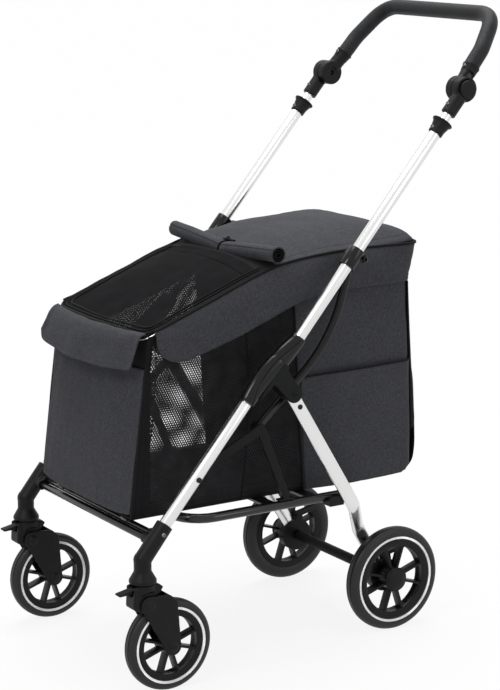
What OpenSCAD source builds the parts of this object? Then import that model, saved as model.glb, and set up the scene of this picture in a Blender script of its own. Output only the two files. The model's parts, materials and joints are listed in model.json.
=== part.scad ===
// Folding pet stroller: silver tube frame, swivelling front wheels, fabric cabin.
// +Y points to the rear, +Z up, and +X is the stroller's left side.
// Side views are drawn as [y, z] pairs; [along, above] pairs are measured on the front leg's axis.

/* [Frame tubes] */
// Distance from the middle of the stroller to the axis of each side frame
frame_half = 203; // [196:1:212]
// Lean of the front legs and push tubes above the floor line, degrees
tube_lean = 49.5; // [48:0.5:51]
// Outer diameter of the silver tubes
tube_d = 20; // [18:0.5:21]
// Wall of the silver tubes
tube_wall = 1.5; // [1.2:0.1:2]
// Place of the front leg's foot along the stroller
foot_y = -305; // [-315:1:-295]
// Height of the front leg's foot
foot_z = 267; // [262:1:272]
// Front leg between its casting and the hinge housing
leg_run = 239; // [225:1:250]
// Length of the fixed half of the folding hinge
housing_length = 86; // [80:1:92]
// Length of the hinge half that folds with the push tube
cover_length = 47; // [42:1:54]
// Step from the front leg's axis down to the push tube's axis
push_step = 14.6; // [12:0.2:16]
// Push tube from the folding hinge to its top
push_run = 475; // [455:1:500]

/* [Folding hinge] */
// Height of the folding pin above the front leg's axis
fold_pin_rise = 9.9; // [9:0.1:12]
// Diameter of the folding pin
fold_pin_d = 6; // [5:0.5:8]
// Radius of the hinge knuckles
knuckle_r = 12; // [11:0.5:13]
// Width of the hinge housing
housing_w = 26; // [25:0.5:30]
// Width of the middle knuckle
knuckle_w = 13.4; // [12:0.2:15]

/* [Rear legs] */
// Rear leg pivot measured back along the front leg's axis from the folding pin
rear_pivot_back = 29; // [24:1:32]
// Rear leg pivot measured below the front leg's axis
rear_pivot_drop = 61.5; // [58:0.5:66]
// Width of the oval rear leg in the side view
rear_leg_w = 24; // [20:1:26]
// Thickness of the oval rear leg
rear_leg_t = 13; // [11:0.5:13.5]
// Diameter of the rear leg's pivot pin
leg_pin_d = 8; // [6:0.5:9]

/* [Base frame] */
// How far the base frame's side tubes lie in from the side frames
base_in = 16; // [16:1:19]
// Height of the base frame's axis
base_z = 263; // [260:0.5:264]
// Outer diameter of the base frame tube
base_d = 15.6; // [14:0.2:16]
// Front end of the base frame
base_front = -250; // [-256:1:-244]
// Rear end of the base frame
base_rear = 40; // [34:1:44]

/* [Handle] */
// Diameter of the telescoping inner tube
inner_tube_d = 16.4; // [15:0.1:16.4]
// Travel of the handle's height adjustment
handle_travel = 120; // [80:5:120]
// Distance from the push tube's top to the handle's pivot
handle_pivot_rise = 73; // [70:1:85]
// Diameter of the handle's round joints
hub_d = 42; // [38:1:46]
// Diameter of the handle's bent tube
handle_tube_d = 18; // [16:0.5:19]
// Outer diameter of the foam grip
grip_d = 27; // [24:0.5:30]
// Reach of the handle from its pivot to the cross bar
handle_reach = 153; // [145:1:165]
// How far the handle's two upper bends lie in from the side frames
handle_bend_in = 73; // [65:1:83]
// Diameter of the push buttons
button_d = 31; // [27:0.5:33]
// How far a push button stands out
button_rise = 5; // [4:0.5:7]

/* [Sliding links] */
// Diameter of the curved side links
link_d = 14; // [12:0.5:15]
// Lower joint of the side link along the stroller
link_joint_y = -115; // [-120:1:-110]
// Height of the side link's lower joint
link_joint_z = 397; // [392:1:402]
// Place of the sliding collar's boss above the folding pin
collar_rise = 216; // [210:1:222]
// Length of the sliding collar
collar_length = 34; // [28:1:40]

/* [Front wheels] */
// Radius of the front wheels
front_r = 75; // [70:1:76]
// Width of the front tyres
front_w = 24; // [20:1:25]
// Place of the swivel axis along the stroller
swivel_y = -342; // [-345:1:-339]
// Distance from the swivel axis back to the front axle
trail = 44; // [40:1:46]
// Thickness of each fork arm
fork_t = 5; // [4:0.5:6]
// Diameter of the front axle bolts
front_axle_d = 8; // [6:0.5:10]

/* [Rear wheels] */
// Radius of the rear wheels
rear_r = 90; // [84:1:91]
// Width of the rear tyres
rear_w = 25; // [22:1:27]
// How far the rear wheels stand in from the side frames
rear_in = 39; // [35:1:40]
// Place of the rear axle along the stroller
rear_axle_y = 168; // [165:1:172]
// Diameter of the rear axle stubs
rear_axle_d = 12; // [10:0.5:14]
// Outer diameter of the rear axle tube
axle_tube_d = 18; // [16:0.5:20]
// Diameter of the brake housings
brake_d = 58; // [52:1:62]

/* [Cabin] */
// Room between the side links and the cover that hangs over the cabin's sides
skirt_gap = 14.3; // [13.3:0.1:19.3]
// Thickness of the padded fabric walls
fabric_t = 3; // [2:0.2:4]
// Thickness of the floor mat
mat_t = 12; // [8:1:18]
// Height of the cabin's front edge
cabin_front_top = 559; // [550:1:564]
// Height of the cabin's side edge at the canopy
cabin_mid_top = 648; // [640:1:652]
// Height of the canopy's crown over its edges
canopy_crown = 52; // [40:1:60]
// Crown of the mesh lid
lid_crown = 27; // [15:1:30]
// Radius of the rolled-up cover
roll_r = 12; // [10:0.5:13]

/* [Hidden] */
$fn = 48;
// clearance of a running fit, of a glued or pressed seat, and between separate moving pieces
run_gap = 0.05;
seat_gap = 0.1;
move_gap = 0.4;
// clearance under and beside a sewn piece
soft_gap = 0.3;
// one more step past a face that is cut
cut = 1;

// directions in the side view
lean_dir = [cos(tube_lean), sin(tube_lean)];
lean_up = [-sin(tube_lean), cos(tube_lean)];
foot = [foot_y, foot_z];
function on_leg(along, above) = foot + along * lean_dir + above * lean_up;
function at_side(x, p) = [x, p[0], p[1]];

split = leg_run + housing_length;
fold_pin = on_leg(split, fold_pin_rise);
push_top = split + push_run;
handle_pivot_along = push_top + handle_pivot_rise;
handle_pivot = on_leg(handle_pivot_along, -push_step);
rear_pivot = on_leg(split - rear_pivot_back, -rear_pivot_drop);
link_joint = [link_joint_y, link_joint_z];
collar_boss = on_leg(split + collar_rise, -push_step - 12.6);

// folding hinge
housing_in = frame_half - housing_w / 2;
slot_in = frame_half - knuckle_w / 2;
socket_d = tube_d + 5;
leg_seat = 45;

// side struts and links, inboard of the hinge housing
strut_t = 5.5;
strut_w = 12;
strut_x = frame_half - tube_d / 2 - 0.2 - strut_t;
link_eye_w = link_d + 1;
link_x = strut_x - move_gap - link_eye_w / 2;
link_pin_d = 8;
link_eye_d = 20;
link_bend = [link_joint_y + 145, link_joint_z + 131];
link_turn = 250;
leg_bolt_y = -245;
leg_bolt_along = (leg_bolt_y - foot_y) / lean_dir[0];
leg_bolt = on_leg(leg_bolt_along, 0);
strut_foot_y = -66;
bolt_d = 5;
bolt_head_d = 9;
bolt_head_t = 3;

// front castings, cross tubes and swivels
casting_d = 28;
casting_top = 6;
casting_end_z = 184;
leg_depth = 22;
elbow_z = 221;
skirt_d = 44;
stem_d = 12;
stem_top = 212;
cross_tube = [-322, 247];
cross_tube_d = 12;
brace_tube = [-312, 253.5];
brace_tube_d = 10;
cross_socket = 13;
cross_end = frame_half - casting_d / 2 - 1;

// front wheels
fork_pin = [swivel_y + 2, 150];
front_axle = [swivel_y + trail, front_r];
fork_gap = 3;
fork_in = front_w / 2 + fork_gap;
head_half = fork_in - move_gap;
lever_pin = [swivel_y - 17, 174];
lever_w = 15;
lever_pin_d = 4;

// rear axle
rear_half = frame_half - rear_in;
rear_axle = [rear_axle_y, rear_r];
wheel_in = rear_half - rear_w / 2;
brake_out = wheel_in - 5.5;
brake_w = 20;
brake_in = brake_out - brake_w;
leg_end_x = brake_in + brake_w / 2;
pedal_pin = [rear_axle_y + 5, rear_r + 35];
pedal_pin_d = 4;
pedal_w = 17;
rear_leg_knee = [57, 250];
rear_leg_turn = [118, 172];
rear_leg_path = [at_side(frame_half, rear_pivot), at_side(frame_half, rear_leg_knee),
    at_side(leg_end_x + 5, rear_leg_turn), [leg_end_x, rear_axle[0] - 4, rear_axle[1] + 10]];
rear_leg_line = rounded_line(rear_leg_path, [0, 60, 60, 0]);

// base frame
base_half = frame_half - base_in;
base_bend = 50;
bar_t = 4;
bar_w = 22;
bar_rows = [-98, -17];
cabin_bottom = base_z + base_d / 2 + soft_gap;
bar_top = cabin_bottom - soft_gap;

// handle
handle_bend_half = frame_half - handle_bend_in;
collar_flange_d = 36;
hub_w = 15;
hub_split = frame_half - 9;
hub_face = frame_half + 7;
upper_hub_x = hub_split - move_gap - hub_w;
sleeve_d = 25;
hub_pin_d = 8;
button_seat = 8;
sleeve_run = 23.5;
// the handle's tube as [x, distance from the pivot], from its lower end to its middle
handle_side = [[upper_hub_x + hub_w / 2, hub_d / 2 + 1], [upper_hub_x + hub_w / 2 - 5, 52],
    [handle_bend_half, handle_reach]];
handle_bends = [0, 40, 42, 42, 40, 0];
function handle_point(p) = at_side(p[0], handle_pivot + p[1] * lean_dir);
function other_side(p) = [-p[0], p[1], p[2]];
handle_path = let (near = [for (p = handle_side) handle_point(p)])
    concat(near, [for (k = [2:-1:0]) other_side(near[k])]);
handle_normal = at_side(0, lean_up);
handle_start_dir = unit(handle_path[1] - handle_path[0]);
sleeve_end = handle_path[0] + sleeve_run * handle_start_dir;

// cabin, set inside the links by the room they need
cabin_half = link_x - link_eye_w / 2 - skirt_gap - 2 * (fabric_t + soft_gap);
cabin_mouth_z = cabin_front_top - 59;
cabin_toe_y = -330;
cabin_front_y = -296;
canopy_front_y = -54;
cabin_peak_y = 70;
cabin_rear_y = 204;
cabin_top = [[cabin_front_y, cabin_front_top], [canopy_front_y, cabin_mid_top],
    [cabin_peak_y, cabin_mid_top + 12], [cabin_rear_y, cabin_mid_top + 14]];
cabin_outline = concat([[cabin_toe_y, cabin_bottom]], cabin_top,
    [[cabin_rear_y + 10, 470], [cabin_rear_y + 14, 330], [cabin_rear_y + 10, cabin_bottom]]);
function top_edge(y) = lookup(y, cabin_top);
lid_rear_y = -92;
canopy_half = cabin_half + soft_gap + fabric_t;
canopy_rim = 3.5;
// place along the stroller and crown of each slice of the canopy
canopy_slices = [[canopy_front_y + 2, canopy_crown - 30], [canopy_front_y + 54, canopy_crown - 11],
    [cabin_peak_y, canopy_crown - 9], [cabin_rear_y - 54, canopy_crown - 15], [cabin_rear_y + 2, canopy_crown - 27]];
skirt_x = canopy_half + soft_gap;
skirt_hem = 60;
skirt_mid = [33, cabin_mid_top - 43];
skirt_toe = [-250, cabin_front_top - 37];
skirt_corner = [-268, cabin_front_top - 36];
skirt_nose = [-280, cabin_front_top - 24];
skirt_rear_top = cabin_mid_top + 14;
flap_bottom = [-339, cabin_front_top - 54];
roll_y = canopy_front_y - roll_r - 1;
roll_half = cabin_half + 11;
roll_z = cabin_mid_top + 9.5 + roll_r;
roll_core = 5;

function unit(v) = v / norm(v);
function turn_angle(a, b) = acos(max(-1, min(1, a * b)));

// ---- shared shapes ----

// straight round bar between two points
module bar(p, q, d) {
    v = q - p;
    translate(p) rotate([0, acos(v[2] / norm(v)), atan2(v[1], v[0])]) cylinder(d = d, h = norm(v));
}

// a side-view drawing [y, z] given a width along X from x0
module side_plate(x0, w) {
    multmatrix([[0, 0, 1, x0], [1, 0, 0, 0], [0, 1, 0, 0], [0, 0, 0, 1]]) linear_extrude(w) children();
}

// cylinder along X centred on a side-view point
module cross_pin(p, d, x0, x1) {
    translate([x0, p[0], p[1]]) rotate([0, 90, 0]) cylinder(d = d, h = x1 - x0);
}

// flat bar with round ends in a side view
module flat_bar(p, q, rp, rq) {
    v = unit(q - p);
    n = [-v[1], v[0]];
    translate(p) circle(r = rp);
    translate(q) circle(r = rq);
    polygon([p + n * rp, p - n * rp, q - n * rq, q + n * rq]);
}

// places a turned or extruded piece on the front leg's axis, measured from the foot
module on_axis(along, above) {
    p = on_leg(along, above);
    translate([frame_half, p[0], p[1]]) rotate([tube_lean - 90, 0, 0]) children();
}

// centre line through a list of points, each corner turned on a circle of its own radius
function rounded_line(points, radii, steps = 6) = [for (i = [0:len(points) - 1])
    if (radii[i] == 0) points[i]
    else let (
        a = unit(points[i] - points[i - 1]),
        b = unit(points[i + 1] - points[i]),
        turn = turn_angle(a, b),
        inward = unit(b - a * (a * b)),
        start = points[i] - a * radii[i] * tan(turn / 2),
        centre = start + inward * radii[i])
        each [for (k = [0:steps]) centre + radii[i] * (a * sin(turn * k / steps) - inward * cos(turn * k / steps))]];

// moves the two ends of a line outwards, so that a bore cuts through
function longer(line, by) = let (last = len(line) - 1) [for (i = [0:last])
    i == 0 ? line[0] + by * unit(line[0] - line[1])
    : i == last ? line[last] + by * unit(line[last] - line[last - 1]) : line[i]];

// oval section, w wide and t thick, swept along a line; t is measured towards ref
module sweep(line, w, t, ref, sides = 24) {
    last = len(line) - 1;
    rings = [for (i = [0:last]) let (
        v = unit(line[min(i + 1, last)] - line[max(i - 1, 0)]),
        wide = unit(cross(v, ref)),
        thin = cross(wide, v))
        for (k = [0:sides - 1]) line[i] + wide * w / 2 * cos(k * 360 / sides) + thin * t / 2 * sin(k * 360 / sides)];
    walls = [for (i = [0:last - 1], k = [0:sides - 1]) let (
        here = i * sides + k,
        beside = i * sides + (k + 1) % sides)
        each [[here, beside, beside + sides], [here, beside + sides, here + sides]]];
    polyhedron(points = rings, faces = concat([[for (k = [sides - 1:-1:0]) k]], walls,
        [[for (k = [0:sides - 1]) last * sides + k]]), convexity = 6);
}

// wheel drawn about the X axis
module about_axle(x, axle) {
    translate([x, axle[0], axle[1]]) rotate([0, 90, 0]) children();
}

module tyre_shape(r, w) {
    shoulder = 5;
    inner = 0.77 * r;
    rotate_extrude($fn = 96) polygon([[inner + seat_gap, -w * 0.4], [r - shoulder, -w / 2], [r - 1.5, -w * 0.3],
        [r, -w * 0.12], [r, w * 0.12], [r - 1.5, w * 0.3], [r - shoulder, w / 2], [inner + seat_gap, w * 0.4]]);
}

module rim_shape(r, w, hub_r, hub_w, bore_d) {
    spoke_pairs = 4;
    spoke_t = 4;
    spoke_spread = 18;
    rim_out = 0.77 * r;
    rim_in = 0.64 * r;
    difference() {
        union() {
            rotate_extrude($fn = 96) polygon([[rim_in, -w * 0.38], [rim_out, -w * 0.4], [rim_out, w * 0.4],
                [rim_in, w * 0.38], [rim_in + 2, 0]]);
            cylinder(r = hub_r, h = hub_w, center = true);
            for (k = [0:spoke_pairs - 1], side = [-1, 1]) rotate(k * 360 / spoke_pairs + side * spoke_spread)
                translate([hub_r - 2, -spoke_t / 2, -w * 0.34]) cube([rim_in + 4 - hub_r, spoke_t, w * 0.68]);
        }
        cylinder(d = bore_d + 2 * run_gap, h = hub_w + 2 * cut, center = true);
    }
}

// ---- fixed frame ----

module front_leg() {
    color("silver") difference() {
        on_axis(-leg_depth, 0) cylinder(d = tube_d, h = leg_depth + leg_run + leg_seat);
        on_axis(-leg_depth - cut, 0) cylinder(d = tube_d - 2 * tube_wall, h = leg_depth + leg_run + leg_seat + 2 * cut);
        cross_pin(leg_bolt, bolt_d + 2 * run_gap, frame_half - tube_d, frame_half + tube_d);
    }
}

module front_casting() {
    elbow = [frame_half, swivel_y, elbow_z];
    top = at_side(frame_half, on_leg(casting_top, 0));
    color("dimgray") difference() {
        union() {
            bar(elbow, top, casting_d);
            translate(elbow) sphere(d = casting_d + 1);
            translate([frame_half, swivel_y, casting_end_z]) cylinder(d = casting_d, h = elbow_z - casting_end_z);
            translate([frame_half, swivel_y, casting_end_z + 5])
                cylinder(d1 = skirt_d, d2 = casting_d, h = 14);
            translate([frame_half, swivel_y, casting_end_z]) cylinder(d = skirt_d, h = 5);
            cross_pin(cross_tube, cross_tube_d + 6, frame_half - casting_d / 2 - cross_socket, frame_half);
            cross_pin(brace_tube, brace_tube_d + 6, frame_half - casting_d / 2 - cross_socket, frame_half);
        }
        on_axis(-leg_depth - 0.5, 0) cylinder(d = tube_d + 2 * seat_gap, h = leg_depth + 40);
        translate([frame_half, swivel_y, casting_end_z - cut])
            cylinder(d = stem_d + 2 * run_gap, h = stem_top - casting_end_z + cut + 0.5);
        cross_pin(cross_tube, cross_tube_d + 2 * seat_gap, frame_half - casting_d, cross_end + seat_gap);
        cross_pin(brace_tube, brace_tube_d + 2 * seat_gap, frame_half - casting_d, cross_end + seat_gap);
    }
}

module front_cross_tubes() {
    color("dimgray") for (t = [[cross_tube, cross_tube_d], [brace_tube, brace_tube_d]]) difference() {
        cross_pin(t[0], t[1], -cross_end, cross_end);
        cross_pin(t[0], t[1] - 2 * tube_wall, -cross_end - cut, cross_end + cut);
    }
}

module base_frame() {
    path = [for (p = [[base_half, base_rear], [base_half, base_front], [-base_half, base_front],
        [-base_half, base_rear]]) [p[0], p[1], base_z]];
    strap_x = 110;
    strap_w = 20;
    strap_z = brace_tube[1] + brace_tube_d / 2 + seat_gap;
    color("#202022") {
        sweep(rounded_line(path, [0, base_bend, base_bend, 0]), base_d, base_d, [0, 0, 1]);
        for (y = bar_rows) translate([-base_half, y - bar_w / 2, bar_top - bar_t])
            cube([2 * base_half, bar_w, bar_t]);
        for (s = [-1, 1]) translate([s * strap_x - strap_w / 2, cross_tube[0] - 2, strap_z])
            cube([strap_w, base_front - cross_tube[0] + 2, bar_t]);
    }
}

module side_strut() {
    foot_pad_z = base_z + base_d / 2 + seat_gap;
    foot_pad_t = 3;
    pin_end = link_x - link_eye_w / 2 - move_gap;
    color("#202022") difference() {
        union() {
            side_plate(strut_x, strut_t) {
                flat_bar(link_joint, leg_bolt, strut_w * 0.7, strut_w / 2);
                flat_bar(link_joint, [strut_foot_y, foot_pad_z + strut_w / 2], strut_w * 0.7, strut_w / 2);
            }
            translate([strut_x - 6, strut_foot_y - 14, foot_pad_z]) cube([strut_t + 6, 28, foot_pad_t]);
            cross_pin(link_joint, link_pin_d, pin_end - 3, strut_x + cut);
            cross_pin(link_joint, link_pin_d + 5, pin_end - 3, pin_end);
        }
        cross_pin(leg_bolt, bolt_d + 2 * run_gap, strut_x - cut, frame_half);
    }
}

module hinge_housing() {
    arm_root = on_leg(split - 20, -10);
    color("#18181a") difference() {
        union() {
            on_axis(leg_run, 0) cylinder(d = socket_d, h = housing_length - move_gap / 2);
            side_plate(housing_in, housing_w) {
                polygon([on_leg(leg_run + 14, 11), on_leg(split - 14, fold_pin_rise + 8),
                    on_leg(split - move_gap / 2, fold_pin_rise), on_leg(split - move_gap / 2, -26),
                    on_leg(leg_run + 14, -12)]);
                flat_bar(arm_root, rear_pivot, 17, rear_leg_w / 2 + 2);
                translate(fold_pin) circle(r = knuckle_r);
            }
        }
        // seats of the front leg and of the middle knuckle
        on_axis(leg_run - cut, 0) cylinder(d = tube_d + 2 * seat_gap, h = leg_seat + cut + 0.5);
        side_plate(slot_in - move_gap, knuckle_w + 2 * move_gap) translate(fold_pin) circle(r = knuckle_r + 1);
        // everything past the split belongs to the moving half
        side_plate(slot_in - move_gap, knuckle_w + 2 * move_gap) polygon([on_leg(split - move_gap / 2, 40),
            on_leg(split - move_gap / 2, -40), on_leg(split + 30, -40), on_leg(split + 30, 40)]);
        // slot for the rear leg
        side_plate(frame_half - rear_leg_t / 2 - move_gap, rear_leg_t + 2 * move_gap)
            rear_leg_sweep_room();
    }
    color("gray") {
        cross_pin(fold_pin, fold_pin_d, slot_in - move_gap - 1, slot_in + knuckle_w + move_gap + 1);
        cross_pin(rear_pivot, leg_pin_d, frame_half - rear_leg_t / 2 - 1, frame_half + rear_leg_t / 2 + 1);
    }
}

// side view of the room that the rear leg's top needs between rest and the folded limit
module rear_leg_sweep_room() {
    reach = 60;
    r = rear_leg_w / 2 + 1;
    knee = unit(rear_leg_knee - rear_pivot);
    for (a = [0:-8:-40]) flat_bar(rear_pivot, rear_pivot + reach * [knee[0] * cos(a) - knee[1] * sin(a),
        knee[0] * sin(a) + knee[1] * cos(a)], r, r);
}

module frame_bolts() {
    color("#303033") for (s = [-1, 1]) on_side(s) {
        cross_pin(leg_bolt, bolt_d, strut_x - 1, frame_half + tube_d / 2 + 1);
        cross_pin(leg_bolt, bolt_head_d, frame_half + tube_d / 2, frame_half + tube_d / 2 + bolt_head_t);
        cross_pin(leg_bolt, bolt_head_d, strut_x - bolt_head_t, strut_x);
    }
}

// mirrors to the right side when s is -1
module on_side(s) {
    mirror([s < 0 ? 1 : 0, 0, 0]) children();
}

// ---- cabin ----

module cabin_body() {
    color("#3a3c42") difference() {
        side_plate(-cabin_half, 2 * cabin_half) polygon(cabin_outline);
        side_plate(-cabin_half + fabric_t, 2 * (cabin_half - fabric_t)) union() {
            offset(delta = -fabric_t) polygon(cabin_outline);
            // open all along the top
            polygon([[cabin_front_y + fabric_t, cabin_mouth_z], [cabin_front_y + fabric_t, cabin_front_top + 2],
                [canopy_front_y, cabin_mid_top + 20], [cabin_rear_y - fabric_t, cabin_mid_top + 30],
                [cabin_rear_y - fabric_t, cabin_mouth_z]]);
        }
    }
}

module floor_mat() {
    side_gap = 2;
    front_y = cabin_toe_y + fabric_t + 5;
    color("#2a2b2e") translate([-cabin_half + fabric_t + side_gap, front_y, cabin_bottom + fabric_t + seat_gap])
        cube([2 * (cabin_half - fabric_t - side_gap), cabin_rear_y - front_y, mat_t]);
}

// cross-section of a soft roof: flat underside and a rounded crown
function roof_points(half, edge, crown, sink) = concat([[-half, edge - sink]],
    [for (k = [-8:8]) [half * k / 8, edge + crown * (1 - pow(abs(k / 8), 3))]], [[half, edge - sink]]);

module roof_slice(y, half, edge, crown, sink) {
    translate([0, y + 0.5, 0]) rotate([90, 0, 0]) linear_extrude(1) polygon(roof_points(half, edge, crown, sink));
}

// the canopy's outer form, or its inside when drop is the fabric's thickness
module roof_body(drop, sink) {
    last = len(canopy_slices) - 1;
    hull() for (i = [0:last]) roof_slice(canopy_slices[i][0] + (i == 0 ? drop : i == last ? -drop : 0),
        canopy_half - drop, top_edge(canopy_slices[i][0]) + canopy_rim - drop, canopy_slices[i][1], sink);
}

module canopy() {
    band_front = roll_y - roll_r - 2;
    band_rear = canopy_front_y + 4;
    band_top = roll_z - roll_r - soft_gap;
    color("#3a3c42") {
        difference() {
            roof_body(0, canopy_rim - soft_gap);
            roof_body(fabric_t, 12);
        }
        // padded cross band under the rolled-up cover
        side_plate(-cabin_half, 2 * cabin_half) polygon([[band_front, top_edge(band_front) + soft_gap],
            [canopy_front_y, top_edge(canopy_front_y) + soft_gap], [band_rear, top_edge(band_rear) + 3],
            [band_rear, band_top], [band_front, band_top]]);
    }
}

module skirts() {
    front_y = cabin_front_y - 2;
    color("#3a3c42") {
        for (s = [-1, 1]) on_side(s) side_plate(skirt_x, fabric_t)
            polygon([[front_y, cabin_front_top + 8], [canopy_front_y, cabin_mid_top + 1],
                [cabin_rear_y + 6, skirt_rear_top], [cabin_rear_y + 8, skirt_rear_top - skirt_hem],
                skirt_mid, skirt_toe, skirt_corner, skirt_nose]);
        // front flap, flared forward
        side_plate(-cabin_half, 2 * cabin_half) polygon([[front_y + 0.9, cabin_front_top - 3.5],
            [front_y - 2.5, cabin_front_top - 2.2], flap_bottom, flap_bottom + [3, -2]]);
    }
}

module cover_roll() {
    color("#2c2d31") difference() {
        cross_pin([roll_y, roll_z], 2 * roll_r, -roll_half, roll_half);
        cross_pin([roll_y, roll_z], roll_core, -roll_half - cut, roll_half + cut);
    }
}

module lid() {
    border = 8;
    end_w = 4;
    // place along the stroller and share of the crown
    slices = [[cabin_front_y - 4, 0.11], [-250, 0.55], [-170, 1], [-110, 0.6], [lid_rear_y, 0.11]];
    color("#222326") difference() {
        hull() for (p = slices) roof_slice(p[0], cabin_half, top_edge(p[0]) + move_gap, p[1] * lid_crown + 2, 0);
        hull() for (i = [0:4]) roof_slice(slices[i][0] + (i == 0 ? end_w : i == 4 ? -end_w : 0), cabin_half - border,
            top_edge(slices[i][0]) + move_gap - 2, slices[i][1] * lid_crown + 1, 6);
    }
}

// ---- push frame ----

module push_tube() {
    start = split + move_gap;
    color("silver") difference() {
        on_axis(start, -push_step) cylinder(d = tube_d, h = push_top - start);
        on_axis(start - cut, -push_step) cylinder(d = tube_d - 2 * tube_wall, h = push_top - start + 2 * cut);
        // the tube is notched clear of the middle knuckle
        side_plate(slot_in - move_gap, knuckle_w + 2 * move_gap) translate(fold_pin) circle(r = knuckle_r + 0.6);
    }
}

module hinge_cover() {
    color("#18181a") difference() {
        union() {
            on_axis(split + move_gap / 2, -push_step) cylinder(d = socket_d, h = cover_length);
            difference() {
                side_plate(housing_in, housing_w) polygon([on_leg(split + move_gap / 2, fold_pin_rise - 1),
                    on_leg(split + move_gap / 2, -27), on_leg(split + cover_length - 12, -push_step - 11),
                    on_leg(split + cover_length - 8, -push_step + 10), on_leg(split + 14, fold_pin_rise - 1)]);
                // clear of the fixed outer knuckles
                for (x = [housing_in - cut, slot_in + knuckle_w - 0.1])
                    side_plate(x, housing_w / 2 - knuckle_w / 2 + cut + 0.1) translate(fold_pin) circle(r = knuckle_r + 0.6);
            }
            cross_pin(fold_pin, 2 * knuckle_r, slot_in, slot_in + knuckle_w);
        }
        for (x = [housing_in - cut, slot_in + knuckle_w])
            side_plate(x, housing_w / 2 - knuckle_w / 2 + cut) translate(fold_pin) circle(r = knuckle_r + 0.6);
        cross_pin(fold_pin, fold_pin_d + 2 * run_gap, housing_in - cut, housing_in + housing_w + cut);
        on_axis(split - cut, -push_step) cylinder(d = tube_d + 2 * seat_gap, h = cover_length + 3 * cut);
    }
}

module telescope_collar() {
    bottom = -18;
    top = 6;
    color("#18181a") on_axis(push_top, -push_step) difference() {
        rotate_extrude() polygon([[0, bottom], [tube_d / 2 + 2.4, bottom], [tube_d / 2 + 2.6, bottom + 9],
            [collar_flange_d / 2 - 3, top - 5], [collar_flange_d / 2, top - 1.5], [collar_flange_d / 2, top], [0, top]]);
        translate([0, 0, bottom - cut]) cylinder(d = tube_d + 2 * seat_gap, h = cut - bottom + seat_gap);
        translate([0, 0, -cut]) cylinder(d = inner_tube_d + 2 * move_gap, h = top + 3 * cut);
    }
}

// ---- handle ----

module inner_tube() {
    below = handle_travel + 45;
    above = 46;
    color("silver") on_axis(push_top - below, -push_step) difference() {
        cylinder(d = inner_tube_d, h = below + above);
        translate([0, 0, -cut]) cylinder(d = inner_tube_d - 2 * tube_wall, h = below + above + 2 * cut);
    }
}

module handle_hub_lower() {
    sleeve_start = push_top + 22;
    color("#1c1c1f") difference() {
        union() {
            on_axis(sleeve_start, -push_step) cylinder(d = sleeve_d, h = handle_pivot_rise - 22);
            cross_pin(handle_pivot, hub_d, hub_split, hub_face);
            cross_pin(handle_pivot, hub_pin_d, upper_hub_x + 3, hub_split + cut);
        }
        on_axis(sleeve_start - cut, -push_step) cylinder(d = inner_tube_d + 2 * seat_gap, h = 26 + cut);
        cross_pin(handle_pivot, button_d + 2 * move_gap, hub_face - button_seat, hub_face + sleeve_d / 2);
        // the sleeve keeps clear of the upper hub
        side_plate(upper_hub_x, hub_split - upper_hub_x) translate(handle_pivot)
            difference() { circle(d = hub_d + 2); circle(d = hub_pin_d); }
    }
}

module hub_button() {
    color("#101012") cross_pin(handle_pivot, button_d, hub_face - button_seat + 4, hub_face + button_rise);
}

module handle_hub_upper() {
    color("#1c1c1f") difference() {
        union() {
            cross_pin(handle_pivot, hub_d, upper_hub_x, upper_hub_x + hub_w);
            bar(handle_path[0] - 12 * handle_start_dir, sleeve_end, sleeve_d);
        }
        cross_pin(handle_pivot, hub_pin_d + 2 * run_gap, upper_hub_x - cut, upper_hub_x + hub_w + cut);
        bar(handle_path[0] - seat_gap * handle_start_dir, sleeve_end + 5 * handle_start_dir,
            handle_tube_d + 2 * seat_gap);
        // face against the lower hub
        side_plate(upper_hub_x + hub_w, 20) translate(handle_pivot) circle(d = hub_d * 2);
    }
}

module handle_tube() {
    line = rounded_line(handle_path, handle_bends);
    bore = handle_tube_d - 2 * tube_wall;
    color("#1c1c1f") difference() {
        sweep(line, handle_tube_d, handle_tube_d, handle_normal);
        sweep(longer(line, cut), bore, bore, handle_normal);
    }
}

module handle_grip() {
    // the foam starts at the end of the upper hub's sleeve
    first = sleeve_end + seat_gap * handle_start_dir;
    line = rounded_line([first, handle_path[1], handle_path[2], handle_path[3], handle_path[4], other_side(first)],
        handle_bends);
    bore = handle_tube_d + 2 * seat_gap;
    color("#151517") difference() {
        sweep(line, grip_d, grip_d, handle_normal);
        sweep(longer(line, cut), bore, bore, handle_normal);
    }
}

// ---- sliding collars and links ----

module slide_collar() {
    color("#18181a") difference() {
        union() {
            on_axis(split + collar_rise - collar_length * 0.8, -push_step) cylinder(d = tube_d + 7, h = collar_length);
            cross_pin(collar_boss, 15, link_x + link_eye_w / 2 + 2 * move_gap, frame_half + 8);
        }
        on_axis(split + collar_rise - 2 * collar_length, -push_step)
            cylinder(d = tube_d + 2 * 0.3, h = 4 * collar_length);
    }
}

module side_link() {
    path = [at_side(link_x, link_joint), at_side(link_x, link_bend), at_side(link_x, collar_boss)];
    x0 = link_x - link_eye_w / 2;
    color("#202022") difference() {
        union() {
            sweep(rounded_line(path, [0, link_turn, 0]), link_d, link_d, [1, 0, 0]);
            cross_pin(link_joint, link_eye_d, x0, x0 + link_eye_w);
            cross_pin(collar_boss, link_eye_d, x0, x0 + link_eye_w);
        }
        cross_pin(link_joint, link_pin_d + 2 * run_gap, x0 - cut, x0 + link_eye_w + cut);
    }
}

// ---- rear legs, axle and brakes ----

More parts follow.
